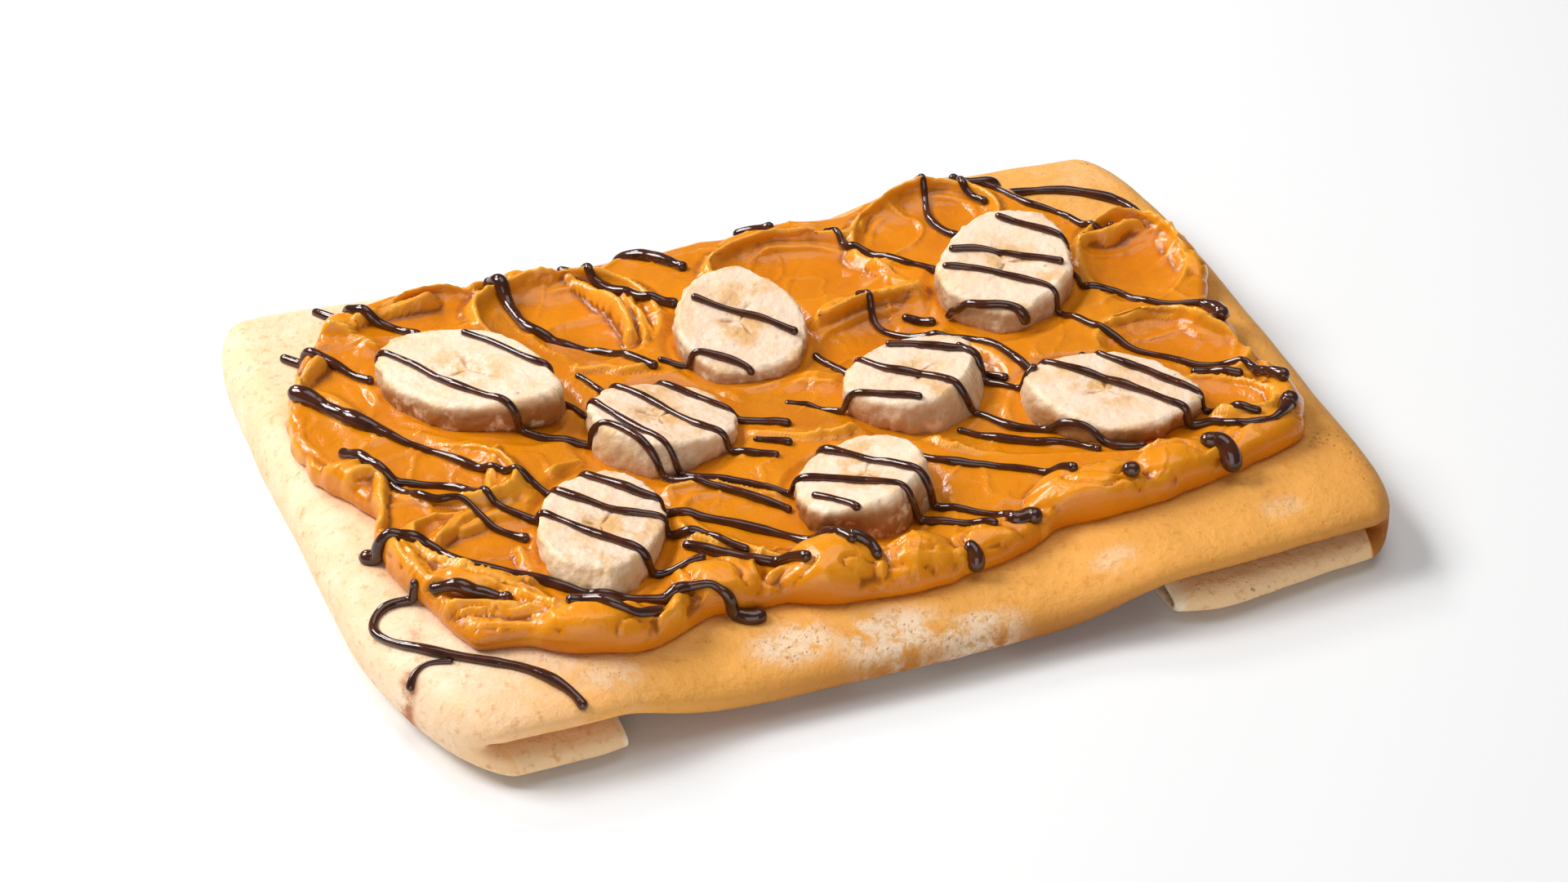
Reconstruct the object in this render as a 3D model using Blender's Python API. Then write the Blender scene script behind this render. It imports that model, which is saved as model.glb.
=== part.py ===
"""A folded crepe with a thick glossy spread, eight banana slices and chocolate drizzle.

The crepe is one sheet: its two long sides are rolled in, then its two ends are
folded under. The spread lies on top in knife strokes, the slices sit in the spread,
and the drizzle is fused to whatever it lies on.
Lengths below are in millimetres and are turned into metres when a mesh is made.
+X runs along the long side, -Y is the front and +Z is up. Plan places are laid out
from MIDDLE and every body is moved by it at the end, so that the origin is the middle
of the underside.
"""
import math

import bmesh
import bpy
import numpy as np
from mathutils import Matrix, Vector
from mathutils.bvhtree import BVHTree
from mathutils.geometry import delaunay_2d_cdt

MM = 0.001

# Crepe
LEFT = -124.0
RIGHT = 128.5
MIDDLE = (2.4, -3.1)
SLAB_THICK = 9.5
FLAP_THICK = 8.5
FOLD_GAP = 0.6
HEIGHT = SLAB_THICK + FOLD_GAP + FLAP_THICK
BEND_RADIUS = HEIGHT / 2
BEND_LEFT = LEFT + BEND_RADIUS
BEND_RIGHT = RIGHT - BEND_RADIUS
LEFT_FLAP_END = -72.0
RIGHT_FLAP_END = 64.0
SAG = 4.5
SAG_RUN = 34.0
SINK_RUN = 40.0
ROLL_POWER = 8.0
CREASE_POWER = 20.0
ROLL_ROUND = 0.45
CORNER_FRONT = 6.0
CORNER_BACK = 4.0
CREASE_SHARE = 0.97
END_FADE = 56.0
POCKET_DEPTH = 14.0
SHEET = 2.0
POCKET_SLIT = 0.4
LIP_ROUND = 0.3
CREPE_COLUMNS = 15
SLAB_STATIONS = 23
BEND_STATIONS = 6
FLAP_STATIONS = 4

# Edges of the crepe in plan: (x, y) along the front and back, (y, x) along the ends
SLAB_FRONT = [(-124, -88), (-96, -89), (-82, -89), (-66, -88.6), (-46, -88.4), (0, -89.3),
              (37, -88.6), (62, -88.8), (80, -88.6), (100, -87.5), (128, -86)]
FLAP_FRONT = [(-124, -90), (-84, -90.6), (-72, -89.3), (64, -88.5), (68, -91.5), (74, -92.6),
              (84, -91.7), (98, -90), (128, -87)]
BACK_EDGE = [(-124, 85), (-107, 86.2), (-93, 84.4), (-78, 82.8), (96, 84.4), (128, 82)]
LEFT_END = [(-90, -103), (-84, -107), (-76, -110.5), (-67, -113.8), (-57, -117), (-45, -119.7),
            (-20, -121), (7, -122), (30, -123.5), (60, -123.3), (86, -121.5)]
RIGHT_END = [(-90, 124), (-80, 126.3), (-70, 127.4), (-42, 127.3), (-12, 128), (19, 128.4),
             (50, 127.3), (68, 125.5), (84, 122)]

# Spread
SPREAD_GAP = 0.5
SPREAD_END_GAP = 1.0
SPREAD_HALF = (116.0, 74.0)
SPREAD_BASE = 5.0
SPREAD_CELLS = 32
BOWL_POWER = 2.4
LIP_POWER = 1.5
OUTER_SLOPE = 0.9
LUMP_ROUND = 0.7
SEAT_SHARE = 1.08
SQUIRCLE = 4.0
UNDER_ROWS = (-61.0, -40.0, -15.0, 10.0, 25.0, 40.0, 61.0)
UNDER_SHARE = 0.98
SLICE_GAP = 0.35
ON_SPREAD = 0.965
OFF_SPREAD = 1.03

# Inset from the outline and share of the full height, from the rim inwards
EDGE_RINGS = [(1.2, 0.0), (0.0, 0.42), (1.3, 0.84), (4.4, 1.0)]

# Slices
SLICE_SIDES = 18
SLICE_CLEAR = 1.5
SLICE_RAISE = 2.0
SLICE_PROUD = 2.5
SLICE_WOBBLE = 0.018
ON_SLICE = 0.86
OFF_SLICE = 1.13

# Share of the radius and of the thickness, from the underside up
SLICE_RINGS = [(0.88, 0.0), (1.0, 0.3), (0.99, 0.8), (0.91, 1.0)]

# Drizzle
STRAND_SIDES = 4
STRAND_STEP = 7.0
STRAND_RISE = 0.22
STRAND_TIP = 0.7
SHORTEST_RUN = 5

# Plan outline of the spread, anticlockwise from the right
SPREAD_OUTLINE = [
    (121, 12), (121, 24), (118, 32), (111, 40), (100, 41), (95, 47), (91, 56), (87, 64),
    (80, 73), (70, 76), (60, 77), (46, 73), (34, 76), (14, 77), (-10, 76), (-30, 77),
    (-45, 77), (-58, 74), (-74, 73), (-89, 71), (-97, 66), (-101, 59), (-108, 50),
    (-113, 40), (-117, 27), (-117, 17), (-114, 5), (-107, -5), (-105, -14), (-109, -24),
    (-107, -36), (-102, -47), (-99, -58), (-95, -65), (-83, -68), (-74, -74), (-64, -76),
    (-54, -73), (-44, -66), (-34, -68), (-24, -68), (-14, -72), (8, -74), (24, -72),
    (36, -69), (45, -65), (54, -68), (64, -70), (74, -68), (84, -65), (100, -62),
    (111, -58), (117, -48), (116, -36), (113, -25), (114, -10), (114, 0),
]

# Knife strokes: centre, turn, half length, half width, floor, lip height, lip heading
SCOOPS = [
    (-97, 36, 105, 26, 14, 3.2, 3.5, 115),
    (-73, 59, 12, 19, 9, 3.4, 3.5, 95),
    (-38, 51, -25, 24, 19, 2.6, 5.0, 85),
    (-107, 18, 100, 20, 9, 4.6, 0.8, 190),
    (-88, -4, -40, 20, 12, 3.4, 3.6, -50),
    (-84, -36, -35, 20, 12, 2.8, 4.0, 205),
    (-90, -58, -25, 15, 8, 4.4, 2.8, 30),
    (24, 53, -12, 24, 15, 2.6, 4.4, 95),
    (60, 55, 8, 20, 16, 2.4, 5.0, 85),
    (31, 18, 10, 25, 12, 2.4, 5.0, 80),
    (103, 20, 70, 19, 14, 2.4, 4.6, 55),
    (96, -17, -38, 20, 13, 2.6, 4.0, 35),
    (96, -40, -35, 16, 9, 3.0, 3.6, -70),
    (4, -4, -25, 22, 12, 3.0, 2.4, -60),
    (45, -31, -35, 24, 10, 3.2, 2.4, 120),
    (-22, -42, -40, 25, 12, 3.0, 2.2, 200),
]

# Rounded lumps, mostly on the front edge: centre, turn, half length, half width, height
LUMPS = [
    (-70, -69, -10, 15, 9, 9.5), (-38, -60, 0, 11, 9, 9.5), (-12, -64, 15, 12, 9, 11.5),
    (8, -67, 0, 10, 8, 9.5), (29, -66, 0, 12, 6, 7.5), (53, -62, -8, 15, 9, 10.5),
    (76, -61, 5, 12, 8, 9.5), (101, -56, 20, 13, 7, 7.5), (113, -42, 80, 12, 5, 8.0),
    (-104, -35, 100, 14, 5, 9.0), (-91, -47, -25, 14, 5, 8.5), (-108, 2, 10, 8, 6, 8.0),
    (117, 18, 90, 13, 5, 7.0), (-96, 62, 25, 9, 5, 7.5), (20, 71, 2, 22, 6, 7.0),
]

# Slices: centre, half length, half width, turn, height of the top over the crepe,
# slope along X and Y, share of the slope that the underside follows
SLICES = [
    (-71.5, 26.5, 25.0, 17.0, -46, 10.3, 0.05, -0.03, 0.3),
    (-1, 28, 18.0, 16.2, 85, 11.0, 0.03, 0.25, 0.5),
    (68.5, 22.5, 20.8, 17.0, 60, 11.7, 0.08, 0.09, 0.5),
    (-32, -1, 18.5, 17.5, 20, 9.8, -0.17, -0.13, 0.3),
    (-58.5, -37.5, 25.0, 14.5, 66, 8.8, -0.10, -0.08, 0.3),
    (5, -42, 17.0, 16.0, 10, 12.0, 0.12, -0.12, 0.3),
    (32, -8.5, 18.0, 15.5, 0, 12.2, 0.06, -0.06, 0.3),
    (70.5, -33, 22.0, 16.0, -28, 8.7, 0.05, 0.02, 0.3),
]

# Strands of drizzle: width, then plan points along the pour
STRANDS = [
    (3.4, [(-98, 80), (-95, 75), (-91, 69)]),
    (3.2, [(-91, 65), (-85, 60), (-80, 55), (-76, 50)]),
    (3.4, [(-111, 61), (-106, 55), (-102, 50), (-99, 46), (-96, 41), (-92, 36)]),
    (5.4, [(-113, 38), (-108, 32), (-103, 24)]),
    (2.6, [(-103, 24), (-92, 10), (-85, 3), (-79, -5), (-69, -16), (-60, -27), (-53, -34),
           (-44, -39), (-37, -44), (-27, -54)]),
    (3.6, [(-108, 12), (-104, 4), (-100, -3)]),
    (2.6, [(-100, -3), (-94, -6), (-88, -9), (-84, -13), (-81, -19), (-76, -26), (-69, -31)]),
    (2.4, [(-100, -4), (-97, -10), (-92, -16), (-86, -19), (-82, -27), (-74, -35)]),
    (2.6, [(-90, 44), (-83, 33), (-77, 22), (-70, 13), (-64, 7), (-58, 2), (-52, 0),
           (-46, -3), (-42, -9), (-36, -19), (-30, -24), (-24, -28), (-18, -34), (-12, -41)]),
    (2.4, [(-69, 43), (-63, 35), (-56, 23), (-50, 17), (-46, 9), (-43, 0), (-38, -10),
           (-31, -20), (-20, -28), (-14, -33), (-4, -40), (6, -48), (13, -54), (20, -59),
           (30, -65)]),
    (2.4, [(-45, 28), (-43, 26), (-41, 20), (-38, 15), (-32, 6), (-25, -7), (-19, -14),
           (-14, -18), (-8, -22)]),
    (4.2, [(-55, 72), (-52, 68), (-51, 60), (-49, 51), (-44, 46)]),
    (3.0, [(-44, 46), (-34, 36), (-28, 28), (-24, 22)]),
    (3.4, [(-35, 75), (-32, 72), (-27, 64), (-22, 57), (-16, 51), (-10, 47)]),
    (2.4, [(-11, 39), (-4, 33), (3, 28), (12, 19)]),
    (2.4, [(-24, 27), (-19, 23), (-15, 22), (-12, 20), (-7, 16), (-3, 12)]),
    (4.0, [(-18, 77), (-11, 72), (-6, 66), (-3, 61)]),
    (3.5, [(14, 76), (18, 74), (25, 71)]),
    (2.6, [(35, 66), (38, 62), (39, 57), (44, 50), (48, 44), (56, 35)]),
    (2.8, [(63, 73), (65, 69), (63, 60), (64, 53), (67, 47)]),
    (2.8, [(74, 72), (75, 65), (79, 56)]),
    (3.4, [(72, 70), (82, 67), (98, 65), (110, 58), (116, 50), (117, 42)]),
    (2.4, [(79, 69), (84, 62), (88, 53), (94, 46), (98, 37), (104, 33)]),
    (2.4, [(72, 40), (77, 34), (84, 26), (87, 20), (86, 14), (89, 12), (94, 9), (98, 2),
           (104, -2), (110, -4)]),
    (5.2, [(110, -4), (112, -8), (112, -14)]),
    (2.4, [(56, 32), (64, 29), (71, 24), (77, 19), (82, 15)]),
    (2.4, [(52, 27), (59, 23), (65, 18), (70, 13), (74, 9), (78, 2), (81, -4), (84, -8),
           (87, -14), (92, -18), (98, -25), (105, -29), (109, -32)]),
    (4.2, [(109, -32), (110, -36), (112, -41), (114, -45)]),
    (2.8, [(50, 18), (53, 13), (57, 9), (62, 6), (66, 3)]),
    (2.4, [(44, -2), (47, -9), (51, -14), (55, -19), (60, -18)]),
    (3.2, [(40, 24), (44, 20), (48, 16)]),
    (2.6, [(31, 33), (34, 29), (34, 23), (40, 15), (48, 8), (55, 0), (57, -6), (60, -15),
           (68, -25), (76, -34), (85, -47), (91, -50), (98, -56), (105, -56)]),
    (5.0, [(105, -56), (110, -52), (113, -50)]),
    (2.6, [(14, 18), (18, 8), (24, -4), (32, -11), (39, -19), (43, -22), (48, -30), (57, -38),
           (62, -44), (66, -50), (73, -54)]),
    (2.4, [(0, 2), (5, -1), (10, -6), (17, -13), (22, -16), (29, -21)]),
    (2.6, [(28, 5), (36, 1), (43, -4), (50, -9), (54, -15)]),
    (2.4, [(-30, 19), (-23, 10), (-17, 2), (-12, -3), (-5, -6), (0, -9)]),
    (2.4, [(-13, -12), (-9, -14), (-3, -18)]),
    (3.0, [(-58, -14), (-52, -21), (-44, -30), (-38, -33), (-30, -38), (-22, -44), (-15, -51),
           (-10, -58), (-6, -65)]),
    (2.6, [(-71, -29), (-63, -40), (-56, -48), (-50, -53), (-45, -54), (-38, -55)]),
    (4.6, [(-113, -23), (-108, -26), (-103, -28)]),
    (3.0, [(-103, -28), (-97, -32), (-93, -38), (-85, -44), (-76, -51), (-69, -57), (-62, -60),
           (-53, -64), (-46, -63), (-40, -65)]),
    (4.8, [(-37, -67), (-33, -70), (-29, -69)]),
    (3.0, [(-103, -43), (-110, -42), (-115, -46), (-113, -53), (-107, -60), (-97, -67),
           (-88, -73), (-82, -80), (-79, -86)]),
    (3.8, [(-102, -46), (-95, -50), (-90, -53), (-84, -57)]),
    (3.2, [(-76, -63), (-70, -66), (-62, -71), (-53, -69)]),
    (3.2, [(-42, -45), (-35, -51), (-28, -56), (-22, -60), (-17, -66)]),
    (4.0, [(-8, -61), (-3, -64), (-2, -69)]),
    (2.6, [(-2, -26), (8, -38), (17, -49), (25, -56), (33, -62)]),
    (5.0, [(33, -64), (38, -64), (40, -66)]),
    (2.4, [(-10, -44), (-4, -51), (-1, -55)]),
    (2.4, [(22, -31), (27, -37), (38, -43), (46, -50), (52, -59)]),
    (2.6, [(35, -24), (40, -29), (50, -38), (59, -45), (62, -51)]),
    (2.4, [(73, -12), (75, -20), (79, -26), (82, -30), (86, -36), (90, -42), (96, -49),
           (103, -54)]),
    (2.8, [(95, -28), (99, -30), (103, -33), (107, -36)]),
    (5.0, [(19, -67), (21, -70), (20, -73)]),
    (5.0, [(60, -64), (65, -65)]),
    (5.4, [(82, -59), (87, -61), (89, -65)]),
]

CREPE_COLOUR = (0.86, 0.62, 0.33)
SPREAD_COLOUR = (0.76, 0.34, 0.035)
BANANA_COLOUR = (0.93, 0.84, 0.66)


def clear_scene():
    """Remove whatever objects the scene holds."""
    for old in list(bpy.data.objects):
        bpy.data.objects.remove(old, do_unlink=True)


def smooth(t):
    """Ease from 0 to 1."""
    t = np.clip(t, 0.0, 1.0)
    return t * t * (3.0 - 2.0 * t)


def sag(x):
    """How far the top slab has sunk between the two folded-under ends, 0 to 1."""
    left = smooth((x - LEFT_FLAP_END + 4.0) / SAG_RUN)
    right = smooth((RIGHT_FLAP_END + 4.0 - x) / SAG_RUN)
    return left * right


def fullness(share, power):
    """Share of the full thickness left at a place across the depth, with rolled sides."""
    return (1.0 - min(abs(share), 1.0) ** power) ** ROLL_ROUND


def crepe_line(x):
    """Height of the crepe's top along its middle."""
    past = np.clip(np.maximum(BEND_LEFT - x, x - BEND_RIGHT), 0.0, BEND_RADIUS)
    drop = BEND_RADIUS - np.sqrt(BEND_RADIUS ** 2 - past ** 2)
    return HEIGHT - SAG * sag(x) - drop


def along_edge(edge, at):
    """A place on one of the measured edges."""
    points = np.array(edge, float)
    return float(np.interp(at, points[:, 0], points[:, 1]))


def end_shift(x, y):
    """How far the outline's ends pull a place along X."""
    left = along_edge(LEFT_END, y) - LEFT
    right = along_edge(RIGHT_END, y) - RIGHT
    near_left = smooth((LEFT + BEND_RADIUS + END_FADE - x) / END_FADE)
    near_right = smooth((x - RIGHT + BEND_RADIUS + END_FADE) / END_FADE)
    return float(left * near_left + right * near_right)


def station(outer, inner, front, back, crease=ROLL_POWER):
    """One cross section of the crepe: outer and inner point of its middle, in XZ."""
    outer = np.array(outer, float)
    inner = np.array(inner, float)
    middle = (outer + inner) / 2
    across = np.linspace(-1.0, 1.0, CREPE_COLUMNS)
    across = np.sign(across) * (1.0 - (1.0 - np.abs(across)) ** 2.0)
    points = []
    for side, power, order in ((outer, ROLL_POWER, range(CREPE_COLUMNS)),
                               (inner, crease, range(CREPE_COLUMNS - 2, 0, -1))):
        for k in order:
            share = across[k]
            x, z = middle + (side - middle) * fullness(share, power)
            y = MIDDLE[1] + abs(share) * ((front if share < 0 else back) - MIDDLE[1])
            points.append((x + end_shift(x, y), y, max(z, 0.0)))
    return points


def bend_stations(side):
    """Sections round one end of the fold, from the flap below to the slab above."""
    rows = []
    mid_gap = FLAP_THICK + FOLD_GAP / 2
    x = BEND_LEFT if side < 0 else BEND_RIGHT
    for k in range(BEND_STATIONS + 1):
        angle = math.radians(-90 + 180 * k / BEND_STATIONS)
        reach = math.cos(angle)
        outer = (x + side * BEND_RADIUS * reach, BEND_RADIUS + BEND_RADIUS * math.sin(angle))
        inner = (x + side * FOLD_GAP / 2 * reach, mid_gap + FOLD_GAP / 2 * math.sin(angle))
        inset = 1.0 - math.sqrt(1.0 - (CREASE_SHARE * reach) ** 2)
        upper = k / BEND_STATIONS
        front = upper * along_edge(SLAB_FRONT, x) + (1.0 - upper) * along_edge(FLAP_FRONT, x)
        back = along_edge(BACK_EDGE, x)
        rows.append(station(outer, inner, front + CORNER_FRONT * inset,
                            back - CORNER_BACK * inset, CREASE_POWER))
    return rows


def flap_stations(side, end):
    """Sections of a folded-under end: its open pocket first, then out to the bend."""
    rows = []
    lift = FLAP_THICK / 2
    rim = lift - SHEET / 2
    bend = BEND_LEFT if side < 0 else BEND_RIGHT
    pocket = ((POCKET_DEPTH, POCKET_SLIT, SHEET * 1.5), (SHEET, lift - SHEET, SHEET * 1.5),
              (0.0, rim - LIP_ROUND, SHEET), (LIP_ROUND, rim + 2 * LIP_ROUND, SHEET / 3))
    for depth, half, inset in pocket:
        x = end + side * depth
        front = along_edge(FLAP_FRONT, end) + inset
        back = along_edge(BACK_EDGE, end) - inset
        rows.append(station((x, lift - half), (x, lift + half), front, back))
    for k in range(FLAP_STATIONS):
        x = end + side * SHEET + (bend - end - side * SHEET) * k / FLAP_STATIONS
        front, back = along_edge(FLAP_FRONT, x), along_edge(BACK_EDGE, x)
        rows.append(station((x, 0.0), (x, FLAP_THICK), front, back, CREASE_POWER))
    return rows


def slab_places():
    """Places along X of the slab's sections."""
    step = (BEND_RIGHT - BEND_LEFT) / SLAB_STATIONS
    return [BEND_LEFT + step * k for k in range(SLAB_STATIONS + 1)]


def slab_stations():
    """Sections of the top slab, left to right, resting on the table between the flaps."""
    rows = []
    for x in slab_places()[1:-1]:
        top = float(crepe_line(x))
        off_left = smooth((x - LEFT_FLAP_END - 1) / SINK_RUN)
        off_right = smooth((RIGHT_FLAP_END - 1 - x) / SINK_RUN)
        down = float(off_left * off_right)
        under = (top - SLAB_THICK) * (1.0 - down)
        front, back = along_edge(SLAB_FRONT, x), along_edge(BACK_EDGE, x)
        crease = CREASE_POWER + (ROLL_POWER - CREASE_POWER) * down
        rows.append(station((x, top), (x, under), front, back, crease))
    return rows


def crepe_body():
    """The folded sheet as one closed sweep, from one flap's end to the other."""
    rows = flap_stations(-1, LEFT_FLAP_END) + bend_stations(-1) + slab_stations()
    rows += bend_stations(1)[::-1] + flap_stations(1, RIGHT_FLAP_END)[::-1]
    mesh = bmesh.new()
    rings = [[mesh.verts.new(Vector(p) * MM) for p in row] for row in rows]
    for a, b in zip(rings, rings[1:]):
        for k in range(len(a)):
            nxt = (k + 1) % len(a)
            mesh.faces.new((a[k], a[nxt], b[nxt], b[k]))
    mesh.faces.new(rings[0][::-1])
    mesh.faces.new(rings[-1])
    return finish_mesh(mesh, "crepe")


def outline_scale():
    """Radius of the spread's outline for each degree, in units of its half sizes."""
    half = np.array(SPREAD_HALF)
    points = np.array(SPREAD_OUTLINE, float) / half
    angle = np.degrees(np.arctan2(points[:, 1], points[:, 0])) % 360
    order = np.argsort(angle)
    degrees = np.arange(360)
    radius = np.interp(degrees, angle[order], np.hypot(*points.T)[order], period=360)
    kernel = np.array([1, 2, 3, 2, 1]) / 9
    padded = np.concatenate([radius[-2:], radius, radius[:2]])
    return np.convolve(padded, kernel, "valid")


OUTLINE = outline_scale()


def outline_share(x, y):
    """Distance from the spread's middle as a share of the outline, 1 on the outline."""
    u = x / SPREAD_HALF[0]
    v = y / SPREAD_HALF[1]
    angle = np.degrees(np.arctan2(v, u)) % 360
    return np.hypot(u, v) / np.interp(angle, np.arange(360), OUTLINE, period=360)


def stroke(height, x, y, scoop):
    """Press one knife stroke into the spread and push up its lip."""
    cx, cy, turn, along, across, floor, lip, heading = scoop
    c, s = math.cos(math.radians(turn)), math.sin(math.radians(turn))
    u = ((x - cx) * c + (y - cy) * s) / along
    v = ((y - cy) * c - (x - cx) * s) / across
    r = np.hypot(u, v)
    facing = np.cos(np.arctan2(y - cy, x - cx) - math.radians(heading))
    rim = SPREAD_BASE + lip * (0.5 + 0.5 * facing) ** LIP_POWER
    bowl = floor + (rim - floor) * np.minimum(r, 1.0) ** BOWL_POWER
    outside = np.maximum(height, rim - (r - 1.0) * across * OUTER_SLOPE)
    return np.where(r < 1.0, bowl, outside)


def spread_height(x, y):
    """Thickness of the spread over the crepe before its edge is rounded."""
    height = np.full(np.shape(x), SPREAD_BASE)
    for scoop in SCOOPS:
        height = stroke(height, x, y, scoop)
    for cx, cy, turn, along, across, top in LUMPS:
        c, s = math.cos(math.radians(turn)), math.sin(math.radians(turn))
        u = ((x - cx) * c + (y - cy) * s) / along
        v = ((y - cy) * c - (x - cx) * s) / across
        dome = top * np.sqrt(np.clip(1.0 - (u * u + v * v) * LUMP_ROUND, 0.0, 1.0))
        height = np.maximum(height, dome)
    for piece in SLICES:
        r, top, _ = slice_frame(piece, x, y)
        seat = np.minimum(height, top - crepe_line(x) - SLICE_PROUD)
        height = np.where(r < SEAT_SHARE, seat, height)
    return height


def spread_layer():
    """Plan place, edge share and inset of every point of the spread's upper surface."""
    n = SPREAD_CELLS
    half = n // 2
    i, j = np.meshgrid(np.arange(-half, half + 1), np.arange(-half, half + 1), indexing="ij")
    level = np.maximum(np.abs(i), np.abs(j))
    angle = np.arctan2(j, i)
    angle[half, half] = 0.0
    c, s = np.cos(angle), np.sin(angle)
    edge = np.interp(np.degrees(angle) % 360, np.arange(360), OUTLINE, period=360)
    round_box = (np.abs(c) ** SQUIRCLE + np.abs(s) ** SQUIRCLE) ** (-1 / SQUIRCLE)
    reach = np.hypot(c * SPREAD_HALF[0], s * SPREAD_HALF[1])
    from_rim = np.clip(half - level, 0, len(EDGE_RINGS) - 1)
    inset = np.array([ring[0] for ring in EDGE_RINGS])[from_rim] / (reach * edge)
    full = np.array([ring[1] for ring in EDGE_RINGS])[from_rim]
    inner = half - len(EDGE_RINGS) + 1
    share = (1.0 - inset) * np.minimum(level / inner, 1.0)
    radius = share * (round_box + (edge - round_box) * share ** 2)
    x = radius * c * SPREAD_HALF[0]
    y = radius * s * SPREAD_HALF[1]
    return x, y, full


def spread_body(crepe_tree):
    """The spread as one closed solid: a relief on top, rounded sides and a thin base."""
    x, y, full = spread_layer()
    n = SPREAD_CELLS
    height = spread_height(x, y)
    mesh = bmesh.new()
    top = {}
    for i in range(n + 1):
        for j in range(n + 1):
            z = bed_height(crepe_tree, x[i, j], y[i, j]) + height[i, j] * full[i, j]
            top[i, j] = mesh.verts.new(Vector((x[i, j], y[i, j], z)) * MM)
    for i in range(n):
        for j in range(n):
            mesh.faces.new((top[i, j], top[i + 1, j], top[i + 1, j + 1], top[i, j + 1]))
    rim = [(i, 0) for i in range(n)] + [(n, j) for j in range(n)]
    rim += [(i, n) for i in range(n, 0, -1)] + [(0, j) for j in range(n, 0, -1)]
    underside(mesh, [top[k] for k in rim], crepe_tree)
    return finish_mesh(mesh, "spread")


def underside(mesh, rim, crepe_tree):
    """Close the spread below with few faces that follow the crepe."""
    places = [Vector((v.co.x, v.co.y)) for v in rim]
    over = BEND_RADIUS * math.sin(math.pi / BEND_STATIONS)
    for x in slab_places() + [BEND_LEFT - over, BEND_RIGHT + over]:
        for y in UNDER_ROWS:
            if float(outline_share(x, y)) < UNDER_SHARE:
                places.append(Vector((x, y)) * MM)
    loop = list(range(len(rim)))
    edges = [(k, (k + 1) % len(rim)) for k in loop]
    points, _, faces, origin, _, _ = delaunay_2d_cdt(places, edges, [loop], 1, 1e-9)
    verts = []
    for point, source in zip(points, origin):
        if source and source[0] < len(rim):
            verts.append(rim[source[0]])
            continue
        z = bed_height(crepe_tree, point.x / MM, point.y / MM)
        verts.append(mesh.verts.new((point.x, point.y, z * MM)))
    for face in faces:
        mesh.faces.new([verts[k] for k in reversed(face)])


def ground_height(tree, x, y):
    """Height of the solid below a place in plan, looked up from above."""
    hit = tree.ray_cast(Vector((x, y, 3 * HEIGHT)) * MM, Vector((0, 0, -1)))[0]
    return hit.z / MM if hit else 0.0


def bed_height(tree, x, y):
    """Height of the spread's underside, a little clear of the crepe."""
    outside = max(BEND_LEFT - x, x - BEND_RIGHT) / BEND_RADIUS
    past = float(smooth(outside + 1.0))
    return ground_height(tree, x, y) + SPREAD_GAP + (SPREAD_END_GAP - SPREAD_GAP) * past


def slice_frame(piece, x, y):
    """Radius of a place as a share of a slice, with the heights of its two faces."""
    cx, cy, along, across, turn, lift, sx, sy, follow = piece
    c, s = math.cos(math.radians(turn)), math.sin(math.radians(turn))
    dx, dy = x - cx, y - cy
    r = np.hypot((dx * c + dy * s) / along, (dy * c - dx * s) / across)
    tilt = sx * dx + sy * dy
    top = crepe_line(cx) + lift + tilt
    rise = np.maximum(tilt + crepe_line(cx) - crepe_line(x) + SLICE_RAISE, 0.0)
    bottom = crepe_line(x) + SLICE_CLEAR + follow * rise
    return r, top, bottom


def slice_body(number, grow=0.0):
    """A round-edged banana slice, its faces tilted as it lies."""
    piece = SLICES[number]
    cx, cy, along, across, turn = piece[:5]
    c, s = math.cos(math.radians(turn)), math.sin(math.radians(turn))
    mesh = bmesh.new()
    rings = []
    for share, up in SLICE_RINGS:
        ring = []
        for k in range(SLICE_SIDES):
            angle = 2 * math.pi * k / SLICE_SIDES
            wobble = 1.0 + SLICE_WOBBLE * (math.sin(3 * angle + number) + math.sin(5 * angle + 2 * number))
            u = (along * share * wobble + grow) * math.cos(angle)
            v = (across * share * wobble + grow) * math.sin(angle)
            x, y = cx + u * c - v * s, cy + u * s + v * c
            _, top, bottom = slice_frame(piece, x, y)
            low, high = bottom - grow, top + grow
            ring.append(mesh.verts.new(Vector((x, y, low + (high - low) * up)) * MM))
        rings.append(ring)
    for a, b in zip(rings, rings[1:]):
        for k in range(SLICE_SIDES):
            nxt = (k + 1) % SLICE_SIDES
            mesh.faces.new((a[k], a[nxt], b[nxt], b[k]))
    _, top, bottom = slice_frame(piece, cx, cy)
    for ring, z in ((rings[0], bottom - grow), (rings[-1], top + grow)):
        middle = mesh.verts.new(Vector((cx, cy, z)) * MM)
        for k in range(SLICE_SIDES):
            mesh.faces.new((ring[k], ring[(k + 1) % SLICE_SIDES], middle))
    return finish_mesh(mesh, f"banana_slice_{number + 1}")


def owner_of(x, y):
    """Which piece lies uppermost at a place in plan, or None close to an edge."""
    for number, piece in enumerate(SLICES):
        r = float(slice_frame(piece, x, y)[0])
        if r < ON_SLICE:
            return f"banana_slice_{number + 1}"
        if r < OFF_SLICE:
            return None
    share = float(outline_share(x, y))
    if share < ON_SPREAD:
        return "spread"
    if share > OFF_SPREAD:
        return "crepe"
    return None


def curve_points(points):
    """A smooth curve through a strand's points, sampled about every millimetre."""
    path = [Vector(p) for p in points]
    path = [path[0] * 2 - path[1]] + path + [path[-1] * 2 - path[-2]]
    fine = []
    for a, b, c, d in zip(path, path[1:], path[2:], path[3:]):
        steps = max(2, int((c - b).length))
        for k in range(steps):
            t = k / steps
            fine.append(0.5 * (2 * b + (c - a) * t + (2 * a - 5 * b + 4 * c - d) * t * t
                               + (3 * b - a - 3 * c + d) * t ** 3))
    fine.append(path[-2])
    return fine


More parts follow.
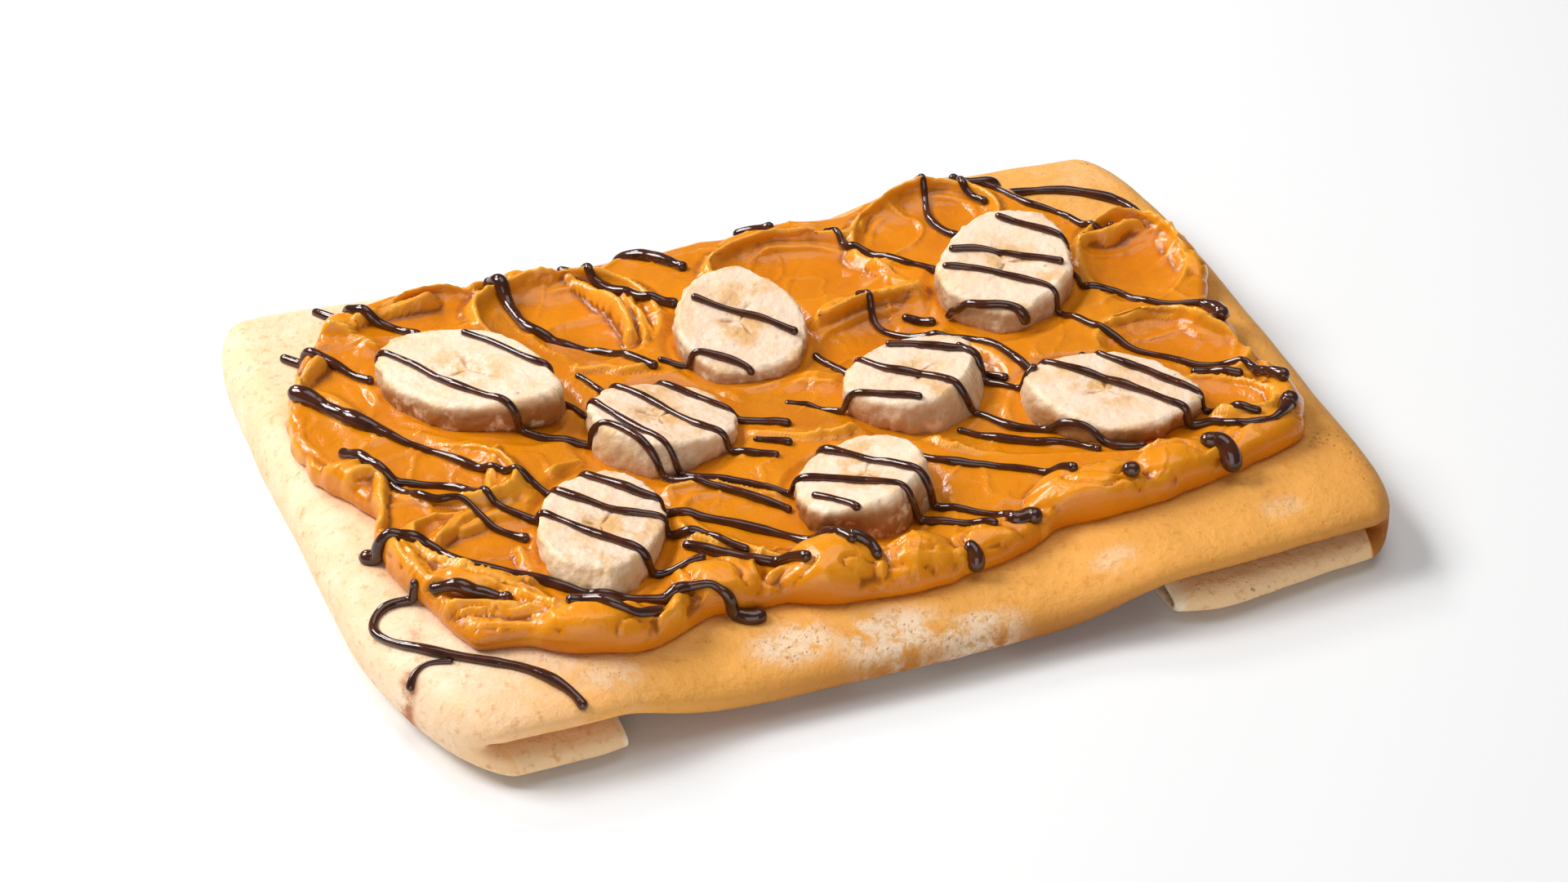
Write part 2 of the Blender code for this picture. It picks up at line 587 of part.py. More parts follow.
def strand_runs():
    """Split every strand into the stretches that lie on one piece each."""
    runs = []
    for width, points in STRANDS:
        last, stretch = None, []
        for place in curve_points(points) + [None]:
            owner = owner_of(place.x, place.y) if place else None
            if owner != last:
                if last and len(stretch) >= SHORTEST_RUN:
                    runs.append((last, width, stretch))
                last, stretch = owner, []
            if owner:
                stretch.append(place)
    return runs


def strand_body(width, stretch, tree):
    """One stretch of drizzle as a tube laid on the piece below it."""
    count = max(1, round(len(stretch) / STRAND_STEP))
    picks = [stretch[round(k * (len(stretch) - 1) / count)] for k in range(count + 1)]
    spine = []
    for place in picks:
        z = ground_height(tree, place.x, place.y) + STRAND_RISE * width
        spine.append(Vector((place.x, place.y, z)))
    mesh = bmesh.new()
    rings = []
    for k, place in enumerate(spine):
        along = (spine[min(k + 1, count)] - spine[max(k - 1, 0)]).normalized()
        side = along.cross(Vector((0, 0, 1))).normalized()
        up = side.cross(along)
        thin = STRAND_TIP if k in (0, count) else 1.0
        ring = []
        for m in range(STRAND_SIDES):
            angle = math.pi / 2 + 2 * math.pi * m / STRAND_SIDES
            offset = side * math.cos(angle) + up * math.sin(angle)
            ring.append(mesh.verts.new((place + offset * thin * width / 2) * MM))
        rings.append(ring)
    for a, b in zip(rings, rings[1:]):
        for m in range(STRAND_SIDES):
            nxt = (m + 1) % STRAND_SIDES
            mesh.faces.new((a[m], a[nxt], b[nxt], b[m]))
    mesh.faces.new(rings[0])
    mesh.faces.new(rings[-1])
    return finish_mesh(mesh, "strand")


def finish_mesh(mesh, name):
    """Turn a closed bmesh into an object of flat faces that point outwards."""
    bmesh.ops.recalc_face_normals(mesh, faces=mesh.faces)
    bmesh.ops.triangulate(mesh, faces=mesh.faces)
    data = bpy.data.meshes.new(name)
    mesh.to_mesh(data)
    mesh.free()
    made = bpy.data.objects.new(name, data)
    bpy.context.scene.collection.objects.link(made)
    return made


def tree_of(body):
    """A lookup of a body's surface."""
    return BVHTree.FromObject(body, bpy.context.evaluated_depsgraph_get())


def combine(body, others, operation, solver="EXACT"):
    """Join the other bodies to one, or cut them from it, then remove them."""
    group = bpy.data.collections.new("joined")
    for other in others:
        group.objects.link(other)
    boolean = body.modifiers.new("join", "BOOLEAN")
    boolean.operation = operation
    boolean.solver = solver
    boolean.operand_type = "COLLECTION"
    boolean.collection = group
    graph = bpy.context.evaluated_depsgraph_get()
    joined = bpy.data.meshes.new_from_object(body.evaluated_get(graph))
    body.modifiers.remove(boolean)
    body.data = joined
    for other in others:
        bpy.data.objects.remove(other, do_unlink=True)
    bpy.data.collections.remove(group)
    keep_main_body(body)


def keep_main_body(body):
    """Drop loose scraps and sealed hollows, so that one closed body is left."""
    mesh = bmesh.new()
    mesh.from_mesh(body.data)
    left = set(mesh.verts)
    islands = []
    while left:
        queue = [left.pop()]
        island = list(queue)
        while queue:
            vert = queue.pop()
            for edge in vert.link_edges:
                other = edge.other_vert(vert)
                if other in left:
                    left.remove(other)
                    island.append(other)
                    queue.append(other)
        islands.append(island)
    islands.sort(key=len)
    for island in islands[:-1]:
        bmesh.ops.delete(mesh, geom=island, context="VERTS")
    mesh.to_mesh(body.data)
    mesh.free()


def centre(body):
    """Move a body so that the crepe's middle lies over the origin."""
    body.data.transform(Matrix.Translation(Vector((-MIDDLE[0], -MIDDLE[1], 0.0)) * MM))


def finish(name, colour, roughness):
    """A plain finish."""
    material = bpy.data.materials.new(name)
    material.use_nodes = True
    shader = material.node_tree.nodes["Principled BSDF"]
    shader.inputs["Base Color"].default_value = (*colour, 1.0)
    shader.inputs["Roughness"].default_value = roughness
    shader.inputs["Metallic"].default_value = 0.0
    return material


def main():
    """Build the crepe, the spread and the slices, then lay the drizzle on them."""
    clear_scene()
    crepe = crepe_body()
    spread = spread_body(tree_of(crepe))
    seats = [slice_body(number, SLICE_GAP) for number in range(len(SLICES))]
    combine(spread, seats, "DIFFERENCE")
    pieces = {"crepe": crepe, "spread": spread}
    for number in range(len(SLICES)):
        body = slice_body(number)
        pieces[body.name] = body
    trees = {name: tree_of(body) for name, body in pieces.items()}
    strands = {name: [] for name in pieces}
    for owner, width, stretch in strand_runs():
        strands[owner].append(strand_body(width, stretch, trees[owner]))
    for name, body in pieces.items():
        if strands[name]:
            combine(body, strands[name], "UNION", "MANIFOLD")
    crepe.data.materials.append(finish("crepe", CREPE_COLOUR, 0.7))
    spread.data.materials.append(finish("spread", SPREAD_COLOUR, 0.25))
    banana = finish("banana", BANANA_COLOUR, 0.5)
    for name, body in pieces.items():
        centre(body)
        if name.startswith("banana"):
            body.data.materials.append(banana)


if __name__ == "__main__":
    main()
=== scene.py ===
"""A folded crepe with spread, banana slices and chocolate drizzle, dressed for a close render.

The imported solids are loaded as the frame. Each gets a finer piece in the same place,
and the drizzle is laid over all of them. Lengths are in millimetres until a mesh is made.
"""
import math

import bmesh
import bpy
import numpy as np
from bpy.props import FloatProperty, FloatVectorProperty, IntProperty, PointerProperty
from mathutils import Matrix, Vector
from mathutils.bvhtree import BVHTree


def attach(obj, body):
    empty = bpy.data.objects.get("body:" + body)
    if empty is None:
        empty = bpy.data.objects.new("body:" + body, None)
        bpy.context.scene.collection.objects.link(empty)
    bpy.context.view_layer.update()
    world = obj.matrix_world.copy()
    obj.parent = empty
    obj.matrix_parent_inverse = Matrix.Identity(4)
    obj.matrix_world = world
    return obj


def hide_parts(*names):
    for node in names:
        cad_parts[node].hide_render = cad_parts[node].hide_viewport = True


bl_info = {
    "name": "Folded Crepe",
    "version": (1, 0, 0),
    "blender": (4, 5, 0),
    "location": "View3D > Sidebar > Folded Crepe",
    "description": "Builds a folded crepe with spread, banana slices and chocolate drizzle",
    "category": "Object",
}

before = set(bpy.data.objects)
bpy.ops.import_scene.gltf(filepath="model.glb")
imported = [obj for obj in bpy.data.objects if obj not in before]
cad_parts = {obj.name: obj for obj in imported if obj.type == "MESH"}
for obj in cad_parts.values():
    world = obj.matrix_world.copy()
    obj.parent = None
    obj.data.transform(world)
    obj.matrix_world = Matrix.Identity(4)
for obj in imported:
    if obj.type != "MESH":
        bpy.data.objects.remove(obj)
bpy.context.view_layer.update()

MM = 0.001
SLICE_NODES = sorted(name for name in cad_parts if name.startswith("banana_slice"))
SLICE_PIECES = "banana_"

# Crepe
LEFT = -124.0
RIGHT = 128.5
MIDDLE = (2.4, -3.1)
SLAB_THICK = 9.5
FLAP_THICK = 8.5
FOLD_GAP = 0.6
HEIGHT = SLAB_THICK + FOLD_GAP + FLAP_THICK
BEND_RADIUS = HEIGHT / 2
BEND_LEFT = LEFT + BEND_RADIUS
BEND_RIGHT = RIGHT - BEND_RADIUS
LEFT_FLAP_END = -72.0
RIGHT_FLAP_END = 64.0
SAG = 4.5
SAG_RUN = 34.0
SINK_RUN = 40.0
ROLL_POWER = 8.0
ROLL_ROUND = 0.45
CREASE_POWER = 20.0
CORNER_FRONT = 6.0
CORNER_BACK = 4.0
CREASE_SHARE = 0.97
END_FADE = 56.0
POCKET_DEPTH = 14.0
POCKET_WALLS = ((POCKET_DEPTH, 0.4, 3.0), (9.0, 1.2, 3.0), (5.0, 1.65, 2.6))
SHEET = 2.0
LIP_SWELL = 0.6
EDGE_SMOOTHING = 6.0
FLAP_STEPS = 24
BEND_STEPS = 28
SLAB_STEPS = 230
# Rows at each end of the sweep that belong to the folded-under end
FLAP_ROWS = 36

SLAB_FRONT = [(-124, -88), (-96, -89), (-82, -89), (-66, -88.6), (-46, -88.4), (0, -89.3),
              (37, -88.6), (62, -88.8), (80, -88.6), (100, -87.5), (128, -86)]
FLAP_FRONT = [(-124, -90), (-84, -90.6), (-72, -89.3), (64, -88.5), (68, -91.5), (74, -92.6),
              (84, -91.7), (98, -90), (128, -87)]
BACK_EDGE = [(-124, 85), (-107, 86.2), (-93, 84.4), (-78, 82.8), (96, 84.4), (128, 82)]
LEFT_END = [(-90, -103), (-84, -107), (-76, -110.5), (-67, -113.8), (-57, -117), (-45, -119.7),
            (-20, -121), (7, -122), (30, -123.5), (60, -124), (86, -123.5)]
RIGHT_END = [(-90, 124), (-80, 126.3), (-70, 127.4), (-42, 127.3), (-12, 128), (19, 128.4),
             (50, 127.3), (68, 125.5), (84, 122)]

# Baked places in plan: X, Y, reach along X and Y, strength
PALE_PATCHES = [(-27, -79, 9, 5, 0.9), (-5, -83, 11, 6, 1.0), (14, -87, 10, 4, 0.9), (-82, -72, 8, 4, 0.6),
                (-70, -80, 6, 4, 0.6), (52, -80, 5, 3, 0.5), (96, -78, 5, 3, 0.4), (-96, 78, 14, 6, 0.3)]
BROWN_MARKS = [(-112.5, -66, 1.8, 3.0, 1.2), (-108, -54, 1.8, 2.4, 0.5), (112, -60, 2.0, 3.0, 0.5),
               (96, -74, 3.0, 2.0, 0.4)]

# Spread
SPREAD_HALF = (116.0, 74.0)
SPREAD_BASE = 5.0
LIP_POWER = 1.5
OUTER_SLOPE = 0.9
LUMP_ROUND = 0.7
FOLD_DEPTH = 1.3
STROKE_WANDER = 2.2
STROKE_WANDER_SIZE = 15.0
LIP_RAGGED = 0.28
LIP_LEAN = 0.32
GROOVE_SPACING = 1.5
STRAND_TWIST_LENGTH = 17.0
SLICE_CLEAR = 1.5
SLICE_RAISE = 2.0
SLICE_PROUD = 2.5
SLICE_BED = 3.4
JOIN_REACH = 4.5
SQUIRCLE = 4.0
SPREAD_LIFT = 0.25
LEAST_SPREAD = 1.0
# Rows of the spread's rounded rim, outside first: distance inwards, share of the full height
SPREAD_RIM = ((0.9, 0.0), (0.25, 0.14), (0.0, 0.34), (0.1, 0.54),
              (0.45, 0.72), (1.1, 0.87), (2.0, 0.96), (3.0, 1.0))

SPREAD_OUTLINE = [
    (121, 12), (121, 24), (118, 32), (111, 40), (100, 41), (95, 47), (91, 56), (87, 64),
    (80, 73), (70, 76), (60, 77), (46, 73), (34, 76), (14, 77), (-10, 76), (-30, 77),
    (-45, 77), (-58, 74), (-74, 73), (-89, 71), (-97, 66), (-101, 59), (-108, 50),
    (-113, 40), (-117, 27), (-117, 17), (-114, 5), (-107, -5), (-105, -14), (-109, -24),
    (-107, -36), (-102, -47), (-99, -58), (-95, -65), (-83, -68), (-74, -74), (-64, -76),
    (-54, -73), (-44, -66), (-34, -68), (-24, -68), (-14, -72), (8, -74), (24, -72),
    (36, -69), (45, -65), (54, -68), (64, -70), (74, -68), (84, -65), (100, -62),
    (111, -58), (117, -48), (116, -36), (113, -25), (114, -10), (114, 0),
]

# Knife strokes: centre, turn, half length, half width, floor, lip height, lip heading
SCOOPS = [
    (-97, 36, 105, 26, 14, 3.2, 3.5, 115),
    (-73, 59, 12, 19, 9, 3.4, 3.5, 95),
    (-38, 51, -25, 24, 19, 2.6, 5.0, 85),
    (-107, 18, 100, 20, 9, 4.6, 0.8, 190),
    (-88, -4, -40, 20, 12, 3.4, 3.6, -50),
    (-84, -36, -35, 20, 12, 2.8, 4.0, 205),
    (-90, -58, -25, 15, 8, 4.4, 2.8, 30),
    (24, 53, -12, 24, 15, 2.6, 4.4, 95),
    (60, 55, 8, 20, 16, 2.4, 5.0, 85),
    (31, 18, 10, 25, 12, 2.4, 5.0, 80),
    (103, 20, 70, 19, 14, 2.4, 4.6, 55),
    (96, -17, -38, 20, 13, 2.6, 4.0, 35),
    (96, -40, -35, 16, 9, 3.0, 3.6, -70),
    (4, -4, -25, 22, 12, 3.0, 2.4, -60),
    (45, -31, -35, 24, 10, 3.2, 2.4, 120),
    (-22, -42, -40, 25, 12, 3.0, 2.2, 200),
]

# Rounded lumps: centre, turn, half length, half width, height
LUMPS = [
    (-70, -69, -10, 15, 9, 9.5), (-38, -60, 0, 11, 9, 9.5), (-12, -64, 15, 12, 9, 11.5),
    (8, -67, 0, 10, 8, 9.5), (29, -66, 0, 12, 6, 7.5), (53, -62, -8, 15, 9, 10.5),
    (76, -61, 5, 12, 8, 9.5), (101, -56, 20, 13, 7, 7.5), (113, -42, 80, 12, 5, 8.0),
    (-104, -35, 100, 14, 5, 9.0), (-91, -47, -25, 14, 5, 8.5), (-108, 2, 10, 8, 6, 8.0),
    (117, 18, 90, 13, 5, 7.0), (-96, 62, 25, 9, 5, 7.5), (20, 71, 2, 22, 6, 7.0),
]

# Ropes and folded edges pushed up by the knife: half width, height, twist, then plan points
ROPES = [
    (3.2, 6.5, 0.0, [(-118, 27), (-120, 22), (-119, 16), (-117, 12), (-115, 5), (-112, 3)]),
    (2.6, 8.0, 0.0, [(-116, -1), (-111, -3), (-107, -1), (-102, -1), (-102, -6), (-104, -13), (-107, -24)]),
    (2.6, 6.0, 0.4, [(-116, -1), (-112, -5), (-108, -10), (-107, -16), (-106, -22)]),
    (3.4, 6.5, 0.5, [(-109, -28), (-108, -36), (-107, -44), (-104, -48)]),
    (3.0, 8.0, 0.8, [(-101, -34), (-101, -42), (-97, -47), (-91, -51), (-85, -54), (-80, -60)]),
    (3.4, 8.5, 1.0, [(-85, -54), (-80, -60), (-76, -66), (-71, -69), (-62, -71), (-54, -68)]),
    (3.0, 4.5, 0.3, [(-103, -48), (-101, -55), (-98, -62), (-93, -67), (-84, -70), (-74, -73), (-64, -75)]),
    (2.8, 7.5, 0.9, [(-103, -51), (-97, -55), (-89, -58), (-82, -62), (-75, -68), (-66, -72)]),
    (2.6, 6.5, 0.6, [(-100, -59), (-91, -62), (-84, -67), (-76, -72)]),
    (3.0, 8.5, 0.4, [(-46, -58), (-48, -64), (-52, -70), (-58, -74)]),
    (2.0, 6.6, 0.6, [(-71, 3), (-75, -7), (-79, -16), (-83, -19)]),
    (2.6, 6.2, 0.2, [(-80, -16), (-84, -21), (-90, -26), (-98, -30)]),
    (2.4, 5.8, 0.0, [(-66, -14), (-74, -21), (-83, -25), (-92, -28)]),
    (2.0, 5.2, 0.0, [(-78, -34), (-77, -44), (-74, -52)]),
    (2.2, 5.6, 0.0, [(-50, -6), (-59, -10), (-65, -15)]),
    (3.6, 9.5, 0.5, [(-20, -66), (-15, -61), (-9, -60), (-1, -62)]),
    (3.0, 8.0, 0.6, [(0, -60), (-1, -67), (-4, -72)]),
    (2.8, 8.0, 1.2, [(5, -64), (12, -68), (17, -71), (21, -73)]),
    (2.2, 5.5, 0.0, [(19, -62), (28, -65), (36, -67), (42, -66), (45, -61), (46, -55)]),
    (2.4, 8.0, 0.4, [(46, -59), (48, -65), (55, -69), (61, -68), (62, -62), (59, -57)]),
    (2.6, 7.5, 0.5, [(62, -68), (72, -66), (82, -63), (92, -60)]),
    (2.6, 7.0, 0.8, [(-30, -66), (-24, -63), (-18, -64)]),
    (2.2, 7.8, 0.2, [(16, 25), (23, 30), (35, 33), (43, 31), (53, 29)]),
    (2.2, 7.4, 0.2, [(42, 60), (48, 67), (58, 70), (66, 71), (76, 69)]),
    (2.2, 7.4, 0.2, [(-1, 58), (7, 65), (16, 68), (25, 67), (35, 64), (42, 60)]),
    (2.2, 7.6, 0.3, [(90, 29), (95, 32), (100, 32), (108, 33), (113, 30)]),
    (2.0, 6.8, 0.2, [(82, -4), (90, -3), (99, -5), (108, -9)]),
    (2.4, 6.6, 1.2, [(40, 49), (44, 41), (46, 34), (50, 30)]),
    (2.2, 7.6, 0.4, [(-94, 61), (-86, 63), (-76, 64), (-67, 65)]),
    (2.4, 7.6, 0.3, [(-101, 50), (-107, 43), (-111, 37)]),
    (2.2, 7.8, 0.2, [(-61, 66), (-56, 71), (-47, 74), (-39, 73), (-33, 67), (-27, 55), (-25, 44),
                     (-27, 34)]),
    (2.2, 6.4, 1.0, [(-22, 60), (-21, 48), (-22, 38), (-24, 32)]),
    (2.4, 6.8, 0.6, [(-47, 32), (-38, 28), (-30, 24), (-24, 24)]),
]

# Slices: centre, half length, half width, turn, height of the top over the crepe,
# slope along X and Y, share of the slope that the underside follows
SLICES = [
    (-71.5, 26.5, 25.0, 17.0, -46, 10.3, 0.05, -0.03, 0.3),
    (-1, 28, 18.0, 16.2, 85, 11.0, 0.03, 0.25, 0.5),
    (68.5, 22.5, 20.8, 17.0, 60, 11.7, 0.08, 0.09, 0.5),
    (-32, -1, 18.5, 17.5, 20, 9.8, -0.17, -0.13, 0.3),
    (-58.5, -37.5, 25.0, 14.5, 66, 8.8, -0.10, -0.08, 0.3),
    (5, -42, 17.0, 16.0, 10, 12.0, 0.12, -0.12, 0.3),
    (32, -8.5, 18.0, 15.5, 0, 12.2, 0.06, -0.06, 0.3),
    (70.5, -33, 22.0, 16.0, -28, 8.7, 0.05, 0.02, 0.3),
]

# Slanting cuts: heading of the sloping side, how much it takes off the face, taper of each end
SLICE_CUTS = [
    (-142, 0.12, 0.46, 0.0), (-110, 0.05, 0.0, 0.0), (-110, 0.07, 0.0, 0.1), (-135, 0.24, 0.0, 0.0),
    (-108, 0.30, 0.0, 0.0), (-50, 0.26, 0.0, 0.0), (-48, 0.28, 0.0, 0.0), (-165, 0.22, 0.10, 0.38),
]

# How strongly each slice's lower edge is browned
SLICE_BROWNING = (1.0, 0.7, 0.6, 0.35, 0.15, 1.0, 0.5, 1.0)

# Strands of drizzle: width, then plan points along the pour
STRANDS = [
    (3.4, [(-98, 80), (-95, 75), (-91, 69)]),
    (3.2, [(-91, 65), (-85, 60), (-80, 55), (-76, 50)]),
    (3.4, [(-111, 61), (-106, 55), (-102, 50), (-99, 46), (-96, 41), (-92, 36)]),
    (5.4, [(-113, 38), (-108, 32), (-103, 24)]),
    (2.6, [(-103, 24), (-92, 10), (-85, 3), (-79, -5), (-69, -16), (-60, -27), (-53, -34),
           (-44, -39), (-37, -44), (-27, -54)]),
    (3.6, [(-108, 12), (-104, 4), (-100, -3)]),
    (2.6, [(-100, -3), (-94, -6), (-88, -9), (-84, -13), (-81, -19), (-76, -26), (-69, -31)]),
    (2.4, [(-100, -4), (-97, -10), (-92, -16), (-86, -19), (-82, -27), (-74, -35)]),
    (2.6, [(-90, 44), (-83, 33), (-77, 22), (-70, 13), (-64, 7), (-58, 2), (-52, 0),
           (-46, -3), (-42, -9), (-36, -19), (-30, -24), (-24, -28), (-18, -34), (-12, -41)]),
    (2.4, [(-69, 43), (-63, 35), (-56, 23), (-50, 17), (-46, 9), (-43, 0), (-38, -10),
           (-31, -20), (-20, -28), (-14, -33), (-4, -40), (6, -48), (13, -54), (20, -59),
           (30, -65)]),
    (2.4, [(-45, 28), (-43, 26), (-41, 20), (-38, 15), (-32, 6), (-25, -7), (-19, -14),
           (-14, -18), (-8, -22)]),
    (4.2, [(-55, 72), (-52, 68), (-51, 60), (-49, 51), (-44, 46)]),
    (3.0, [(-44, 46), (-34, 36), (-28, 28), (-24, 22)]),
    (3.4, [(-35, 75), (-32, 72), (-27, 64), (-22, 57), (-16, 51), (-10, 47)]),
    (2.4, [(-11, 39), (-4, 33), (3, 28), (12, 19)]),
    (2.4, [(-24, 27), (-19, 23), (-15, 22), (-12, 20), (-7, 16), (-3, 12)]),
    (4.0, [(-18, 77), (-11, 72), (-6, 66), (-3, 61)]),
    (3.5, [(14, 76), (18, 74), (25, 71)]),
    (2.6, [(35, 66), (38, 62), (39, 57), (44, 50), (48, 44), (56, 35)]),
    (2.8, [(63, 73), (65, 69), (63, 60), (64, 53), (67, 47)]),
    (2.8, [(74, 72), (75, 65), (79, 56)]),
    (3.4, [(72, 70), (82, 67), (98, 65), (110, 58), (116, 50), (117, 42)]),
    (2.4, [(79, 69), (84, 62), (88, 53), (94, 46), (98, 37), (104, 33)]),
    (2.4, [(72, 40), (77, 34), (84, 26), (87, 20), (86, 14), (89, 12), (94, 9), (98, 2),
           (104, -2), (110, -4)]),
    (5.2, [(110, -4), (112, -8), (112, -14)]),
    (2.4, [(56, 32), (64, 29), (71, 24), (77, 19), (82, 15)]),
    (2.4, [(52, 27), (59, 23), (65, 18), (70, 13), (74, 9), (78, 2), (81, -4), (84, -8),
           (87, -14), (92, -18), (98, -25), (105, -29), (109, -32)]),
    (4.2, [(109, -32), (110, -36), (112, -41), (114, -45)]),
    (2.8, [(50, 18), (53, 13), (57, 9), (62, 6), (66, 3)]),
    (2.4, [(44, -2), (47, -9), (51, -14), (55, -19), (60, -18)]),
    (3.2, [(40, 24), (44, 20), (48, 16)]),
    (2.6, [(31, 33), (34, 29), (34, 23), (40, 15), (48, 8), (55, 0), (57, -6), (60, -15),
           (68, -25), (76, -34), (85, -47), (91, -50), (98, -56), (105, -56)]),
    (5.0, [(105, -56), (110, -52), (113, -50)]),
    (2.6, [(14, 18), (18, 8), (24, -4), (32, -11), (39, -19), (43, -22), (48, -30), (57, -38),
           (62, -44), (66, -50), (73, -54)]),
    (2.4, [(0, 2), (5, -1), (10, -6), (17, -13), (22, -16), (29, -21)]),
    (2.6, [(28, 5), (36, 1), (43, -4), (50, -9), (54, -15)]),
    (2.4, [(-30, 19), (-23, 10), (-17, 2), (-12, -3), (-5, -6), (0, -9)]),
    (2.4, [(-13, -12), (-9, -14), (-3, -18)]),
    (3.0, [(-58, -14), (-52, -21), (-44, -30), (-38, -33), (-30, -38), (-22, -44), (-15, -51),
           (-10, -58), (-6, -65)]),
    (2.6, [(-71, -29), (-63, -40), (-56, -48), (-50, -53), (-45, -54), (-38, -55)]),
    (4.6, [(-113, -23), (-108, -26), (-103, -28)]),
    (3.0, [(-103, -28), (-97, -32), (-93, -38), (-85, -44), (-76, -51), (-69, -57), (-62, -60),
           (-53, -64), (-46, -63), (-40, -65)]),
    (4.8, [(-37, -67), (-33, -70), (-29, -69)]),
    (3.0, [(-103, -43), (-110, -42), (-115, -46), (-113, -53), (-107, -60), (-97, -67),
           (-88, -73), (-82, -80), (-79, -86), (-78.6, -88.4)]),
    (1.9, [(-101, -66), (-104, -65), (-108, -64), (-111, -65), (-112.5, -67.5)]),
    (3.8, [(-102, -46), (-95, -50), (-90, -53), (-84, -57)]),
    (3.2, [(-76, -63), (-70, -66), (-62, -71), (-53, -69)]),
    (3.2, [(-42, -45), (-35, -51), (-28, -56), (-22, -60), (-17, -66)]),
    (4.0, [(-8, -61), (-3, -64), (-2, -69)]),
    (2.6, [(-2, -26), (8, -38), (17, -49), (25, -56), (33, -62)]),
    (5.0, [(33, -64), (38, -64), (40, -66)]),
    (2.4, [(-10, -44), (-4, -51), (-1, -55)]),
    (2.4, [(22, -31), (27, -37), (38, -43), (46, -50), (52, -59)]),
    (2.6, [(35, -24), (40, -29), (50, -38), (59, -45), (62, -51)]),
    (2.4, [(73, -12), (75, -20), (79, -26), (82, -30), (86, -36), (90, -42), (96, -49),
           (103, -54)]),
    (2.8, [(95, -28), (99, -30), (103, -33), (107, -36)]),
    (5.0, [(19, -67), (21, -70), (20, -73)]),
    (5.0, [(60, -64), (65, -65)]),
    (5.4, [(82, -59), (87, -61), (89, -65)]),
]

# Stage: each light's setting, size and place, and the camera's view of the object
FLOOR_SIZE = 8.0
LIGHTS = (("key", 0.6, (-0.85, 0.55, 1.05)), ("fill", 1.2, (0.25, 0.15, 1.6)),
          ("front", 1.0, (-0.35, -1.15, 0.30)), ("gloss", 0.22, (-0.30, 0.90, 0.72)))
SENSOR = 36.0
VIEW_TURN = -20.4
VIEW_RISE = 36.8
VIEW_DISTANCE = 0.8305
VIEW_TARGET = (-0.84, -3.16, 9.3)


def smooth(t):
    """Ease from 0 to 1."""
    t = np.clip(t, 0.0, 1.0)
    return t * t * (3.0 - 2.0 * t)


def bump(distance, width):
    """A rounded ridge of height 1 at distance 0."""
    return np.exp(-(distance / width) ** 2)


def value_noise(x, y, size, seed):
    """Soft random heights from -1 to 1, about one per cell of the given size."""
    table = np.random.default_rng(seed).uniform(-1.0, 1.0, (256, 256))
    u, v = x / size, y / size
    i, j = np.floor(u).astype(int), np.floor(v).astype(int)
    a, b = smooth(u - i), smooth(v - j)
    i, j, i1, j1 = i % 256, j % 256, (i + 1) % 256, (j + 1) % 256
    low = table[i, j] * (1 - a) + table[i1, j] * a
    high = table[i, j1] * (1 - a) + table[i1, j1] * a
    return low * (1 - b) + high * b


def layered_noise(x, y, size, seed):
    """Noise with finer noise on top of it."""
    layers = [value_noise(x, y, size / 2 ** k, seed + k) / 2 ** k for k in range(3)]
    return sum(layers) / 1.75


def creases(x, y, size, seed, sharp):
    """Narrow valleys where soft noise crosses zero, 1 in a valley and 0 between them."""
    return (1.0 - np.minimum(np.abs(value_noise(x, y, size, seed)) * 2.2, 1.0)) ** sharp


def edge_line(points):
    """A measured edge as a smooth lookup."""
    table = np.array(points, float)
    at = np.arange(table[0, 0] - 20, table[-1, 0] + 21, 1.0)
    values = np.interp(at, table[:, 0], table[:, 1])
    span = int(3 * EDGE_SMOOTHING)
    kernel = bump(np.arange(-span, span + 1), EDGE_SMOOTHING)
    padded = np.pad(values, span, mode="edge")
    return at, np.convolve(padded, kernel / kernel.sum(), "valid")


EDGES = {name: edge_line(points) for name, points in (
    ("slab_front", SLAB_FRONT), ("flap_front", FLAP_FRONT), ("back", BACK_EDGE),
    ("left", LEFT_END), ("right", RIGHT_END))}


def along_edge(name, at):
    """A place on one of the measured edges."""
    return np.interp(at, *EDGES[name])


def fullness(share, power):
    """Share of the full thickness left at a place across the depth."""
    return (1.0 - np.minimum(np.abs(share), 1.0) ** power) ** ROLL_ROUND


def sag(x):
    """How far the top slab has sunk between the two folded-under ends, 0 to 1."""
    left = smooth((x - LEFT_FLAP_END + 4.0) / SAG_RUN)
    right = smooth((RIGHT_FLAP_END + 4.0 - x) / SAG_RUN)
    return left * right


def crepe_line(x):
    """Height of the crepe's top along its middle."""
    past = np.clip(np.maximum(BEND_LEFT - x, x - BEND_RIGHT), 0.0, BEND_RADIUS)
    drop = BEND_RADIUS - np.sqrt(BEND_RADIUS ** 2 - past ** 2)
    return HEIGHT - SAG * sag(x) - drop


def end_shift(x, y):
    """How far the outline's ends pull a place along X."""
    left = along_edge("left", y) - LEFT
    right = along_edge("right", y) - RIGHT
    near_left = smooth((LEFT + BEND_RADIUS + END_FADE - x) / END_FADE)
    near_right = smooth((x - RIGHT + BEND_RADIUS + END_FADE) / END_FADE)
    return left * near_left + right * near_right


